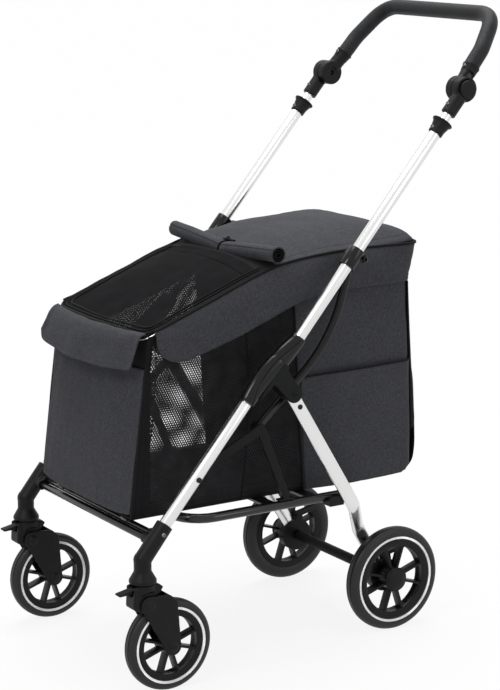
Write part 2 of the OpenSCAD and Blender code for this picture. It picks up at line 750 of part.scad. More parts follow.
module rear_leg() {
    saddle_y = base_rear - 26;
    saddle_out = base_half + base_d / 2 + 3;
    color("silver") difference() {
        union() {
            sweep(rear_leg_line, rear_leg_w, rear_leg_t, [1, 0, 0]);
            cross_pin(rear_pivot, rear_leg_w, frame_half - rear_leg_t / 2, frame_half + rear_leg_t / 2);
        }
        cross_pin(rear_pivot, leg_pin_d + 2 * run_gap, frame_half - rear_leg_t, frame_half + rear_leg_t);
    }
    // open saddle under the end of the base frame
    color("#202022") difference() {
        translate([base_half - base_d / 2 - 3, saddle_y, base_z - base_d / 2 - 4])
            cube([frame_half - base_half + base_d / 2 - 1, 28, base_d / 2 + 4]);
        translate([base_half, saddle_y - cut, base_z]) rotate([-90, 0, 0]) cylinder(d = base_d + 2 * move_gap, h = 28 + 2 * cut);
        sweep(longer(rear_leg_line, seat_gap), rear_leg_w + 2 * seat_gap, rear_leg_t + 2 * seat_gap, [1, 0, 0]);
    }
}

module brake_housing() {
    color("#18181a") difference() {
        union() {
            cross_pin(rear_axle, brake_d, brake_in, brake_out);
            side_plate(brake_in, brake_w) flat_bar(rear_axle, pedal_pin, 18, 7);
            cross_pin(rear_axle, rear_axle_d + 8, brake_in, wheel_in - move_gap);
            cross_pin(rear_axle, rear_axle_d, brake_in, rear_half + rear_w / 2 + 2);
        }
        sweep(longer(rear_leg_line, seat_gap), rear_leg_w + 2 * seat_gap, rear_leg_t + 2 * seat_gap, [1, 0, 0]);
        // slot of the brake pedal
        side_plate(brake_in + (brake_w - pedal_w) / 2 - move_gap, pedal_w + 2 * move_gap) {
            translate(pedal_pin) circle(r = 7.5);
            translate(pedal_pin - [0, 12]) square([40, 24]);
        }
    }
    color("gray") cross_pin(pedal_pin, pedal_pin_d, brake_in + 0.5, brake_out - 0.5);
}

module rear_axle_tube() {
    color("#303033") difference() {
        cross_pin(rear_axle, axle_tube_d, -brake_in, brake_in);
        cross_pin(rear_axle, axle_tube_d - 2 * tube_wall, -brake_in - cut, brake_in + cut);
    }
}

module brake_pedal() {
    tip = pedal_pin + [36, 9];
    x0 = brake_in + (brake_w - pedal_w) / 2;
    color("#101012") difference() {
        side_plate(x0, pedal_w) {
            translate(pedal_pin) circle(r = 5);
            flat_bar(pedal_pin + [0, 1], tip, 3, 2.5);
        }
        cross_pin(pedal_pin, pedal_pin_d + 2 * run_gap, x0 - cut, x0 + pedal_w + cut);
    }
}

module rear_rim() {
    color("#1c1c1f") about_axle(rear_half, rear_axle)
        rim_shape(rear_r, rear_w, 20, rear_w, rear_axle_d);
}

module rear_tyre() {
    color("#28282a") about_axle(rear_half, rear_axle) tyre_shape(rear_r, rear_w);
}

module rear_hub_cap() {
    cap_d = 34;
    color("#28282a") about_axle(rear_half + rear_w / 2 + seat_gap, rear_axle) difference() {
        cylinder(d1 = cap_d, d2 = cap_d - 8, h = 5);
        translate([0, 0, -cut]) cylinder(d = rear_axle_d + 1, h = 3.5);
    }
}

// ---- front wheels ----

module caster_head() {
    top = casting_end_z - 0.3;
    color("#1c1c1f") difference() {
        union() {
            translate([frame_half, swivel_y, 160]) cylinder(d = 40, h = top - 160);
            translate([frame_half, swivel_y, top - cut]) cylinder(d = stem_d, h = stem_top - top + cut);
            side_plate(frame_half - head_half, 2 * head_half) {
                polygon([[swivel_y - 22, top - 3], [swivel_y + 24, top - 3], [swivel_y + 30, top - 8],
                    [swivel_y + 24, 167], fork_pin + [7, 5], fork_pin + [2, -9], fork_pin + [-10, -13],
                    [swivel_y - 24, 146]]);
                translate(fork_pin) circle(r = 9);
            }
        }
        cross_pin(fork_pin, front_axle_d + 2 * run_gap, frame_half - 40, frame_half + 40);
        // clear of the fork's arms
        for (s = [-1, 1]) side_plate(frame_half + s * (head_half + 10) - 10, 20)
            translate(fork_pin) circle(r = 22);
        // slot of the swivel lock lever
        translate([frame_half - lever_w / 2 - move_gap, swivel_y - 40, lever_pin[1] - 9])
            cube([lever_w + 2 * move_gap, 29, 18]);
    }
    color("gray") cross_pin(lever_pin, lever_pin_d, frame_half - lever_w / 2 - 2, frame_half + lever_w / 2 + 2);
}

module swivel_lock() {
    tip = lever_pin + [-27, -3];
    color("#101012") difference() {
        side_plate(frame_half - lever_w / 2, lever_w) {
            translate(lever_pin) circle(r = 4.6);
            flat_bar(lever_pin, tip, 4, 1.8);
        }
        cross_pin(lever_pin, lever_pin_d + 2 * run_gap, frame_half - lever_w, frame_half + lever_w);
    }
}

module caster_fork() {
    crown = [front_axle[0] + 4, front_axle[1] + front_r + 7];
    color("#1c1c1f") difference() {
        union() {
            for (x = [frame_half - fork_in - fork_t, frame_half + fork_in]) side_plate(x, fork_t) {
                translate(fork_pin) circle(r = 15);
                translate(front_axle) circle(r = 15);
                polygon([fork_pin + [-14, -5], front_axle + [-15, -2], front_axle + [14, 6], crown + [4, 0],
                    crown + [-2, 5], fork_pin + [-4, 14.5]]);
            }
            side_plate(frame_half - fork_in - cut, 2 * (fork_in + cut)) translate(crown) square([13, 8], center = true);
        }
        for (p = [fork_pin, front_axle])
            cross_pin(p, front_axle_d + 2 * seat_gap, frame_half - 60, frame_half + 60);
    }
    bolt_x = fork_in + fork_t;
    color("gray") for (p = [fork_pin, front_axle]) {
        cross_pin(p, front_axle_d, frame_half - bolt_x - 1, frame_half + bolt_x + 1);
        for (s = [-1, 1]) cross_pin(p, front_axle_d + 6, frame_half + s * (bolt_x + 1.5) - 1.5,
            frame_half + s * (bolt_x + 1.5) + 1.5);
    }
}

module front_rim() {
    color("#1c1c1f") about_axle(frame_half, front_axle)
        rim_shape(front_r, front_w, 15, 2 * (fork_in - move_gap), front_axle_d);
}

module front_tyre() {
    color("#28282a") about_axle(frame_half, front_axle) tyre_shape(front_r, front_w);
}

// ---- the two sides ----

module front_leg_left() front_leg();
module front_leg_right() mirror([1, 0, 0]) front_leg();
module front_casting_left() front_casting();
module front_casting_right() mirror([1, 0, 0]) front_casting();
module side_strut_left() side_strut();
module side_strut_right() mirror([1, 0, 0]) side_strut();
module hinge_housing_left() hinge_housing();
module hinge_housing_right() mirror([1, 0, 0]) hinge_housing();
module push_tube_left() push_tube();
module push_tube_right() mirror([1, 0, 0]) push_tube();
module hinge_cover_left() hinge_cover();
module hinge_cover_right() mirror([1, 0, 0]) hinge_cover();
module telescope_collar_left() telescope_collar();
module telescope_collar_right() mirror([1, 0, 0]) telescope_collar();
module inner_tube_left() inner_tube();
module inner_tube_right() mirror([1, 0, 0]) inner_tube();
module handle_hub_lower_left() handle_hub_lower();
module handle_hub_lower_right() mirror([1, 0, 0]) handle_hub_lower();
module handle_hub_upper_left() handle_hub_upper();
module handle_hub_upper_right() mirror([1, 0, 0]) handle_hub_upper();
module hub_button_left() hub_button();
module hub_button_right() mirror([1, 0, 0]) hub_button();
module slide_collar_left() slide_collar();
module slide_collar_right() mirror([1, 0, 0]) slide_collar();
module side_link_left() side_link();
module side_link_right() mirror([1, 0, 0]) side_link();
module rear_leg_left() rear_leg();
module rear_leg_right() mirror([1, 0, 0]) rear_leg();
module brake_housing_left() brake_housing();
module brake_housing_right() mirror([1, 0, 0]) brake_housing();
module brake_pedal_left() brake_pedal();
module brake_pedal_right() mirror([1, 0, 0]) brake_pedal();
module rear_rim_left() rear_rim();
module rear_rim_right() mirror([1, 0, 0]) rear_rim();
module rear_tyre_left() rear_tyre();
module rear_tyre_right() mirror([1, 0, 0]) rear_tyre();
module rear_hub_cap_left() rear_hub_cap();
module rear_hub_cap_right() mirror([1, 0, 0]) rear_hub_cap();
module caster_head_left() caster_head();
module caster_head_right() mirror([1, 0, 0]) caster_head();
module swivel_lock_left() swivel_lock();
module swivel_lock_right() mirror([1, 0, 0]) swivel_lock();
module caster_fork_left() caster_fork();
module caster_fork_right() mirror([1, 0, 0]) caster_fork();
module front_rim_left() front_rim();
module front_rim_right() mirror([1, 0, 0]) front_rim();
module front_tyre_left() front_tyre();
module front_tyre_right() mirror([1, 0, 0]) front_tyre();

front_leg_left();
front_leg_right();
front_casting_left();
front_casting_right();
front_cross_tubes();
base_frame();
side_strut_left();
side_strut_right();
hinge_housing_left();
hinge_housing_right();
frame_bolts();
cabin_body();
floor_mat();
canopy();
skirts();
cover_roll();
lid();
push_tube_left();
push_tube_right();
hinge_cover_left();
hinge_cover_right();
telescope_collar_left();
telescope_collar_right();
inner_tube_left();
inner_tube_right();
handle_hub_lower_left();
handle_hub_lower_right();
handle_hub_upper_left();
handle_hub_upper_right();
hub_button_left();
hub_button_right();
handle_tube();
handle_grip();
slide_collar_left();
slide_collar_right();
side_link_left();
side_link_right();
rear_leg_left();
rear_leg_right();
brake_housing_left();
brake_housing_right();
rear_axle_tube();
brake_pedal_left();
brake_pedal_right();
rear_rim_left();
rear_rim_right();
rear_tyre_left();
rear_tyre_right();
rear_hub_cap_left();
rear_hub_cap_right();
caster_head_left();
caster_head_right();
swivel_lock_left();
swivel_lock_right();
caster_fork_left();
caster_fork_right();
front_rim_left();
front_rim_right();
front_tyre_left();
front_tyre_right();
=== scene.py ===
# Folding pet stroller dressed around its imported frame: cabin fabrics, wheels, handle and fittings.
# +Y points to the rear, +Z up, +X is the stroller's left side; all lengths in metres.
import json
import math
import bpy
from mathutils import Matrix, Vector, noise


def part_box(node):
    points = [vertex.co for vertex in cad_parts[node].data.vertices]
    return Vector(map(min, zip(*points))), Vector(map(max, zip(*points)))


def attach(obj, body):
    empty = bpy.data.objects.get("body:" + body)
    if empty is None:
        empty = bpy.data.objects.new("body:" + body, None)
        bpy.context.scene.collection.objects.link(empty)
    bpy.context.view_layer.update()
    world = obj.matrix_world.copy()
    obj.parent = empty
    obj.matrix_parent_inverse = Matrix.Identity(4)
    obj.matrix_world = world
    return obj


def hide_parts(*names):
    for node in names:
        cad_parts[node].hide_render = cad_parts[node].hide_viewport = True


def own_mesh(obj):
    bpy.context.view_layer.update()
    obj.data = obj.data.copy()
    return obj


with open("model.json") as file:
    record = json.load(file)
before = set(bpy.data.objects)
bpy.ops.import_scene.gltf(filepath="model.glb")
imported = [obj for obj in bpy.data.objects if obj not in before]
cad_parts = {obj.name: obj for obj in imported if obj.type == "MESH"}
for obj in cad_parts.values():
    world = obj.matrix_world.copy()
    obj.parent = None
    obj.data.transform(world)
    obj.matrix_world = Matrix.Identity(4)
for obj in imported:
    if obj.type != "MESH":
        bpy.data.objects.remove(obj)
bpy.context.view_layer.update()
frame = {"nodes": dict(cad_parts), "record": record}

BODY_OF = {n: b for b, nodes in frame["record"]["behaviour"]["bodies"].items() for n in nodes}
JOINTS = {j["name"]: j for j in frame["record"]["behaviour"]["joints"]}
SIDES = (("left", 1), ("right", -1))


def joint_place(name):
    return Vector(JOINTS[name]["pos_m"])


# ---------------------------------------------------------------- finishes

class Value:
    """A shader socket that can be used in sums."""

    def __init__(self, finish, socket):
        self.finish, self.socket = finish, socket

    def _maths(self, operation, *terms):
        return self.finish.node("ShaderNodeMath", {"operation": operation}, dict(enumerate(terms)))

    def __add__(self, other):
        return self._maths("ADD", self, other)

    def __sub__(self, other):
        return self._maths("SUBTRACT", self, other)

    def __rsub__(self, other):
        return self._maths("SUBTRACT", other, self)

    def __mul__(self, other):
        return self._maths("MULTIPLY", self, other)

    def __truediv__(self, other):
        return self._maths("DIVIDE", self, other)

    def __rtruediv__(self, other):
        return self._maths("DIVIDE", other, self)

    def __gt__(self, other):
        return self._maths("GREATER_THAN", self, other)

    def __lt__(self, other):
        return self._maths("LESS_THAN", self, other)

    __radd__, __rmul__ = __add__, __mul__

    def each(self, operation, *terms):
        return self._maths(operation, self, *terms)


class Finish:
    """A material whose nodes are made by one call."""

    def __init__(self, name, colour, roughness, **fixed):
        self.material = bpy.data.materials.new(name)
        self.material.use_nodes = True
        self.tree = self.material.node_tree
        self.shader = self.tree.nodes["Principled BSDF"]
        self.shader.inputs["Base Color"].default_value = (*colour, 1)
        self.shader.inputs["Roughness"].default_value = roughness
        self.shader.inputs["Specular IOR Level"].default_value = 0.3
        for socket, value in fixed.items():
            self.shader.inputs[socket.replace("_", " ")].default_value = value

    def node(self, kind, settings=None, values=None, out=0):
        made = self.tree.nodes.new(kind)
        for key, value in (settings or {}).items():
            if key == "stops":
                ramp = made.color_ramp
                while len(ramp.elements) < len(value):
                    ramp.elements.new(0.5)
                for element, (place, grey) in zip(ramp.elements, value):
                    element.position = place
                    element.color = (*grey, 1) if isinstance(grey, tuple) else (grey, grey, grey, 1)
            else:
                setattr(made, key, value)
        for key, value in (values or {}).items():
            if isinstance(value, Value):
                self.tree.links.new(value.socket, made.inputs[key])
            else:
                made.inputs[key].default_value = value
        return Value(self, made.outputs[out])

    def feed(self, socket, value):
        self.tree.links.new(value.socket, self.shader.inputs[socket])

    def place(self, kind="Object"):
        return self.node("ShaderNodeTexCoord", out=kind)

    def grain(self, scale, detail=2.0, stretch=(1, 1, 1), kind="Object", turn=(0, 0, 0)):
        at = self.node("ShaderNodeMapping", {}, {"Vector": self.place(kind), "Scale": stretch, "Rotation": turn})
        return self.node("ShaderNodeTexNoise", {"noise_dimensions": "3D"},
                         {"Vector": at, "Scale": scale, "Detail": detail, "Roughness": 0.55})

    def mix(self, amount, first, second):
        return self.node("ShaderNodeMix", {"data_type": "RGBA"}, {0: amount, 6: first, 7: second}, out=2)

    def relief(self, height, strength, distance):
        bump = self.node("ShaderNodeBump", {}, {"Height": height, "Strength": strength, "Distance": distance})
        self.feed("Normal", bump)

    def tint(self, amount, colour, low, high):
        """Lets the base colour wander between two shares of one colour."""
        shades = [(*[c * share for c in colour], 1) for share in (low, high)]
        self.feed("Base Color", self.mix(self.between(amount, 0.0, 1.0), *shades))

    def between(self, value, low, high):
        return self.node("ShaderNodeMapRange", {}, {"Value": value, "From Min": 0.25, "From Max": 0.75,
                                                    "To Min": low, "To Max": high})


def anodised(name, colour, roughness=0.24):
    """Drawn aluminium tube with a satin clear anodised skin and the faintest drawing lines."""
    f = Finish(name, colour, roughness, Metallic=1.0)
    lines = f.grain(500, 2, (1, 1, 0.015), turn=(math.radians(40.5), 0, 0))
    cloud = f.grain(9, 2)
    f.feed("Roughness", f.between(cloud, roughness - 0.02, roughness + 0.03))
    f.tint(lines, colour, 0.97, 1.0)
    return f.material


def moulded(name, colour, roughness, texture=0.25, specular=0.12):
    """Injection-moulded plastic with a fine spark-eroded texture and slightly rubbed high spots."""
    f = Finish(name, colour, roughness, Specular_IOR_Level=specular)
    spark = f.grain(2200, 2)
    rubbed = f.grain(35, 4)
    f.feed("Roughness", f.between(rubbed, roughness - 0.06, roughness + 0.07))
    f.tint(rubbed, colour, 0.8, 1.25)
    f.relief(spark, texture, 0.0003)
    return f.material


def powder_coat(name, colour, roughness, specular=0.5, coat=0.25):
    """Stoved paint over tube, with a faint orange peel."""
    f = Finish(name, colour, roughness, Specular_IOR_Level=specular, Coat_Weight=coat, Coat_Roughness=0.12)
    peel = f.grain(420, 2)
    f.feed("Roughness", f.between(f.grain(30, 3), roughness - 0.04, roughness + 0.06))
    f.relief(peel, 0.12, 0.0004)
    return f.material


def closed_foam(name, colour):
    """Foam sleeve with fine closed pores, slightly uneven in tone."""
    f = Finish(name, colour, 0.55, Sheen_Weight=0.02, Specular_IOR_Level=0.16)
    pores = f.node("ShaderNodeTexVoronoi", {}, {"Vector": f.place(), "Scale": 900.0})
    patches = f.grain(60, 4)
    f.tint(patches, colour, 0.75, 1.3)
    f.feed("Roughness", f.between(patches, 0.42, 0.56))
    f.relief(pores, 0.35, 0.0005)
    return f.material


def heather_cloth(name, dark, light):
    """Melange polyester: short broken warp and weft threads of two greys over a fine plain weave."""
    f = Finish(name, dark, 0.9, Sheen_Weight=0.04, Sheen_Roughness=0.4, Specular_IOR_Level=0.12)
    warp, weft = (f.grain(1.0, 3, stretch, "UV") for stretch in ((1000, 150, 1), (150, 1000, 1)))
    slub, slub_across = (f.grain(1.0, 2, stretch, "UV") for stretch in ((420, 45, 1), (45, 420, 1)))
    knots = f.grain(1.0, 2, (520, 520, 1), "UV")
    patches = f.grain(11.0, 3, (1, 1, 1), "UV")
    spread = ((warp - 0.5) * 1.3 + (weft - 0.5) * 1.2 + (slub - 0.5) * 0.5 + (slub_across - 0.5) * 0.35
              + (knots - 0.5) * 0.9 + (patches - 0.5) * 0.3)
    tone = (spread + 0.46).each("MINIMUM", 1.0).each("MAXIMUM", 0.0)
    f.feed("Base Color", f.mix(tone, (*dark, 1), (*light, 1)))
    over, under = (f.node("ShaderNodeTexWave", {"wave_type": "BANDS", "bands_direction": way},
                          {"Vector": f.place("UV"), "Scale": 190.0, "Distortion": 0.6, "Detail": 1.0,
                           "Detail Scale": 1.0}) for way in "XY")
    f.relief(over.each("MAXIMUM", under) * 0.5 + warp * 0.4 + weft * 0.4, 0.5, 0.0005)
    f.feed("Roughness", f.between(patches, 0.84, 0.95))
    return f.material


def plain_cloth(name, colour, roughness=0.85, scale=260.0):
    """Close plain weave, used for bindings, linings and webbing."""
    f = Finish(name, colour, roughness, Sheen_Weight=0.015, Specular_IOR_Level=0.1)
    threads = f.node("ShaderNodeTexWave", {"wave_type": "BANDS", "bands_direction": "DIAGONAL"},
                     {"Vector": f.place(), "Scale": scale, "Distortion": 0.8, "Detail": 1.0})
    worn = f.grain(26, 4)
    f.tint(worn, colour, 0.75, 1.35)
    f.feed("Roughness", f.between(worn, roughness - 0.06, roughness + 0.06))
    f.relief(threads, 0.4, 0.0005)
    return f.material


def warp_knit_net(name, colour, pitch, hole):
    """Open knit: rows of rounded holes, each row shifted by half a pitch."""
    f = Finish(name, colour, 0.8, Specular_IOR_Level=0.06)
    split = f.node("ShaderNodeSeparateXYZ", {}, {"Vector": f.place("UV")})
    across = Value(f, split.socket.node.outputs[0]) / pitch
    rows = Value(f, split.socket.node.outputs[1]) / (pitch * 0.8)
    row = rows.each("FLOOR")
    shift = row.each("MODULO", 2.0).each("ABSOLUTE") * 0.5
    u = (across + shift).each("FRACT") - 0.5
    v = rows.each("FRACT") - 0.5
    radius = (u * u + v * v * 0.75).each("SQRT")
    wander = f.grain(1.0, 2, (300, 300, 1), "UV")
    edge = radius + (wander - 0.5) * 0.1
    f.feed("Alpha", edge > hole)
    f.tint(f.grain(40, 2), colour, 0.7, 1.4)
    f.relief(edge.each("MINIMUM", 0.5), 0.5, 0.0008)
    return f.material


def tyre_rubber(name, colour):
    """Rubber with a fine skin and a little dust."""
    f = Finish(name, colour, 0.5, Specular_IOR_Level=0.35)
    dust = f.grain(24, 5)
    fine = f.grain(1500, 2)
    f.tint(dust, colour, 0.7, 1.5)
    f.feed("Roughness", f.between(dust, 0.36, 0.54))
    f.relief(fine, 0.25, 0.0003)
    return f.material


silver = anodised("satin_anodised_tube", (0.76, 0.76, 0.755))
black_plastic = moulded("black_moulding", (0.007, 0.007, 0.008), 0.42, specular=0.14)
housing_plastic = moulded("polished_black_moulding", (0.004, 0.004, 0.0045), 0.16, 0.02, 0.26)
arm_plastic = moulded("satin_black_moulding", (0.008, 0.0085, 0.0085), 0.5, 0.2, 0.1)
button_plastic = moulded("soft_black_button", (0.006, 0.006, 0.0065), 0.48, 0.3, 0.15)
rim_plastic = moulded("rim_moulding", (0.006, 0.006, 0.0065), 0.34, 0.2, 0.16)
black_metal = powder_coat("black_stoved_tube", (0.006, 0.006, 0.007), 0.17, 0.35, 0.15)
matt_metal = powder_coat("matt_black_strut", (0.009, 0.009, 0.0095), 0.5, 0.1, 0.0)
foam = closed_foam("grip_foam", (0.013, 0.0135, 0.015))
screw_zinc = anodised("zinc_plated_screw", (0.2, 0.2, 0.21), 0.35)
bolt_steel = anodised("blackened_bolt", (0.03, 0.03, 0.033), 0.3)
bright_wire = anodised("bright_wire", (0.85, 0.85, 0.85), 0.2)
tyre_black = tyre_rubber("tyre_rubber", (0.007, 0.007, 0.0075))
ring_white = tyre_rubber("white_ring", (0.88, 0.88, 0.87))
heather = heather_cloth("charcoal_heather", (0.024, 0.0245, 0.028), (0.072, 0.073, 0.082))
lining = plain_cloth("black_lining", (0.008, 0.008, 0.009))
binding = plain_cloth("black_binding", (0.005, 0.005, 0.0055), 0.7, 420.0)
webbing = plain_cloth("black_webbing", (0.006, 0.006, 0.007), 0.75, 300.0)
thread = plain_cloth("grey_thread", (0.06, 0.061, 0.067), 0.8, 900.0)
side_net = warp_knit_net("cabin_net", (0.026, 0.026, 0.028), 0.0048, 0.34)
lid_net = warp_knit_net("lid_net", (0.0075, 0.0075, 0.0085), 0.0036, 0.32)

# ---------------------------------------------------------------- making pieces

MERGE = 0.00001


def clear_choice():
    bpy.ops.object.select_all(action="DESELECT")


def choose(obj):
    clear_choice()
    obj.select_set(True)
    bpy.context.view_layer.objects.active = obj
    return obj


def shape(name, points, faces, finish, uv=None):
    mesh = bpy.data.meshes.new(name)
    mesh.from_pydata([tuple(p) for p in points], [], faces)
    mesh.update()
    if uv:
        layer = mesh.uv_layers.new(name="cut")
        for loop in mesh.loops:
            layer.data[loop.index].uv = uv[loop.vertex_index]
    obj = bpy.data.objects.new(name, mesh)
    bpy.context.collection.objects.link(obj)
    mesh.materials.append(finish)
    return obj


def apply(obj, kind, **settings):
    choose(obj)
    modifier = obj.modifiers.new(kind, kind)
    for key, value in settings.items():
        setattr(modifier, key, value)
    bpy.ops.object.modifier_apply(modifier=modifier.name)
    return obj


def smooth(obj, angle=35):
    choose(obj)
    bpy.ops.object.shade_smooth_by_angle(angle=math.radians(angle))
    return obj


def open_mesh(obj):
    """Edit mode, with the whole mesh selected."""
    choose(obj)
    bpy.ops.object.mode_set(mode="EDIT")
    bpy.ops.mesh.select_all(action="SELECT")


def close_mesh(outward=False):
    if outward:
        bpy.ops.mesh.select_all(action="SELECT")
        bpy.ops.mesh.normals_make_consistent(inside=False)
    bpy.ops.object.mode_set(mode="OBJECT")


def tidy_normals(obj):
    open_mesh(obj)
    bpy.ops.mesh.remove_doubles(threshold=MERGE)
    close_mesh(outward=True)
    return obj


def settle(obj, body, nodes=()):
    """Applies the piece's place, hands it to its body and hides the plain solids it stands for."""
    choose(obj)
    bpy.ops.object.transform_apply(location=True, rotation=True, scale=True)
    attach(obj, body)
    if nodes:
        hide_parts(*nodes)
    return obj


def loose_copy(node, ending, finish):
    """A hard node's mesh as a piece of its own, left in edit mode with its doubled points merged."""
    source = frame["nodes"][node]
    copy = source.copy()
    copy.data = source.data.copy()
    copy.parent = None
    copy.animation_data_clear()
    copy.name = node + ending
    for key in list(copy.keys()):
        del copy[key]
    bpy.context.collection.objects.link(copy)
    copy.data.materials.clear()
    copy.data.materials.append(finish)
    open_mesh(copy)
    bpy.ops.mesh.remove_doubles(threshold=2 * MERGE)
    return copy


def softened(node, finish, width=0.0006, segments=2):
    """A hard node with its edges broken, as a moulding or a dressed casting has."""
    piece = loose_copy(node, "_finished", finish)
    bpy.ops.mesh.dissolve_limited(angle_limit=math.radians(0.6))
    close_mesh()
    apply(piece, "BEVEL", width=width, segments=segments, limit_method="ANGLE", angle_limit=math.radians(30),
          use_clamp_overlap=True)
    smooth(piece)
    return settle(piece, BODY_OF[node], (node,))


def turned(name, profile, centre, axis, finish, steps=64):
    """A piece spun on its axis; profile is [distance along the axis, radius] pairs around the section."""
    clear_choice()
    axis = Vector(axis).normalized()
    side = axis.orthogonal().normalized()
    points = [Vector(centre) + axis * a + side * r for a, r in profile]
    closed = profile[0][1] > 0 or profile[-1][1] > 0
    edges = [(i, i + 1) for i in range(len(points) - 1)]
    if closed and profile[0] != profile[-1]:
        edges.append((len(points) - 1, 0))
    mesh = bpy.data.meshes.new(name)
    mesh.from_pydata([tuple(p) for p in points], edges, [])
    obj = bpy.data.objects.new(name, mesh)
    bpy.context.collection.objects.link(obj)
    mesh.materials.append(finish)
    open_mesh(obj)
    bpy.ops.mesh.spin(steps=steps, angle=2 * math.pi, center=tuple(centre), axis=tuple(axis))
    bpy.ops.mesh.select_all(action="SELECT")
    bpy.ops.mesh.remove_doubles(threshold=MERGE)
    close_mesh(outward=True)
    return smooth(obj)


def swept(name, path, radius, finish, sides=12, closed=False, squeeze=1.0, up=(0, 0, 1)):
    """A round or oval cord along a line of points, with closed ends."""
    path = [Vector(p) for p in path]
    count = len(path)
    points = []
    for i, p in enumerate(path):
        before = path[i - 1] if i or closed else path[0]
        after = path[(i + 1) % count] if i < count - 1 or closed else path[-1]
        run = (after - before).normalized()
        wide = run.cross(Vector(up)).normalized()
        tall = wide.cross(run)
        size = radius(i / (count - 1)) if callable(radius) else radius
        for k in range(sides):
            a = 2 * math.pi * k / sides
            points.append(p + wide * (math.cos(a) * size) + tall * (math.sin(a) * size * squeeze))
    faces = []
    for i in range(count if closed else count - 1):
        for k in range(sides):
            a, b = i * sides + k, i * sides + (k + 1) % sides
            c, d = ((i + 1) % count) * sides + (k + 1) % sides, ((i + 1) % count) * sides + k
            faces.append((a, b, c, d))
    if not closed:
        faces.append(tuple(range(sides - 1, -1, -1)))
        faces.append(tuple(range((count - 1) * sides, count * sides)))
    obj = shape(name, points, faces, finish)
    tidy_normals(obj)
    return smooth(obj, 50)


def rounded(points, radius, steps=8):
    """Corner points turned into a smooth line."""
    line = [Vector(points[0])]
    for i in range(1, len(points) - 1):
        p, q, r = Vector(points[i - 1]), Vector(points[i]), Vector(points[i + 1])
        a, b = (p - q).normalized(), (r - q).normalized()
        half = a.angle(b) / 2
        reach = min(radius / math.tan(half), (p - q).length * 0.49, (r - q).length * 0.49)
        start, end = q + a * reach, q + b * reach
        for k in range(steps + 1):
            t = k / steps
            line.append(start * (1 - t) ** 2 + q * 2 * t * (1 - t) + end * t ** 2)
    line.append(Vector(points[-1]))
    return line


def along(table, x):
    """Value at x on a smooth line through the table's points."""
    if x <= table[0][0]:
        return table[0][1]
    for i in range(len(table) - 1):
        (a, p), (b, q) = table[i], table[i + 1]
        if x <= b:
            before = table[max(i - 1, 0)]
            after = table[min(i + 2, len(table) - 1)]
            t = (x - a) / (b - a)
            m0 = (q - before[1]) / (b - before[0]) * (b - a) if b != before[0] else 0
            m1 = (after[1] - p) / (after[0] - a) * (b - a) if after[0] != a else 0
            return ((2 * t ** 3 - 3 * t ** 2 + 1) * p + (t ** 3 - 2 * t ** 2 + t) * m0
                    + (3 * t ** 2 - 2 * t ** 3) * q + (t ** 3 - t ** 2) * m1)
    return table[-1][1]


def evenly(low, high, count):
    """Both ends and the even steps between them."""
    return [low + (high - low) * k / count for k in range(count + 1)]


def rumple(p, size, height, seed=0.0):
    """Soft irregular relief, the same on every run."""
    q = Vector((p.x / size + seed, p.y / size - seed * 0.7, p.z / size + seed * 1.3))
    return height * (noise.noise(q) + 0.5 * noise.noise(q * 2.1))


# ---------------------------------------------------------------- frame, hinges and handle


LEAN = Vector(JOINTS["collar_slide"]["axis"])
FRONT_UP = Vector((0, -LEAN.z, LEAN.y))
LEAN_ANGLE = math.atan2(LEAN.y, LEAN.z)
SPLIT = 0.325
FRAME_HALF = 0.203
PUSH_STEP = -0.0146
CASTER_HEAD_TOP = (0, 0, 0.1834)
FORK_SHOULDER = (0, -0.303, 0.162)
FORK_CHEEK = 0.0208
LEG_FOOT = joint_place("frame_fold") - LEAN * SPLIT - FRONT_UP * 0.0099


def on_leg(along_leg, above, x=0.0):
    """A point so far up the front leg from its foot, and so far in front of its line."""
    return LEG_FOOT + LEAN * along_leg + FRONT_UP * above + Vector((x, 0, 0))


def moulded_form(node, finish, voxel=0.0011, passes=6, cut=None):
    """A hard node rebuilt as one moulding: every corner runs into the next with a small fillet.
    cut is a point and a direction: what lies beyond it is left out."""
    piece = loose_copy(node, "_moulding", finish)
    if cut:
        bpy.ops.mesh.bisect(plane_co=cut[0], plane_no=cut[1], clear_outer=True, use_fill=True)
    close_mesh()
    apply(piece, "REMESH", mode="VOXEL", voxel_size=voxel, use_smooth_shade=True)
    apply(piece, "SMOOTH", factor=0.5, iterations=passes)
    choose(piece)
    bpy.ops.object.shade_smooth()
    return settle(piece, BODY_OF[node], (node,))


def rivet(name, centre, facing, radius, body, finish, height=0.0022):
    """A domed head with a driven recess, standing on a face that looks along X."""
    dome = [(-0.001, 0), (-0.001, radius), (height * 0.35, radius), (height * 0.8, radius * 0.82),
            (height, radius * 0.5), (height * 0.45, radius * 0.42), (height * 0.45, 0)]
    head = turned(name, [(facing * a, r) for a, r in dome], centre, (1, 0, 0), finish, 24)
    return settle(head, body)


def screw(node, name, centre, direction, radius=0.0034):
    """A screw head with a bright rim and a dark socket, on the body of a node."""
    dome = [(-0.001, 0), (-0.001, radius), (0.001, radius), (0.002, radius * 0.8), (0.002, radius * 0.52),
            (0.0004, radius * 0.46), (0.0004, 0)]
    head = turned(name, dome, centre, direction, screw_zinc, 24)
    return settle(head, BODY_OF[node])


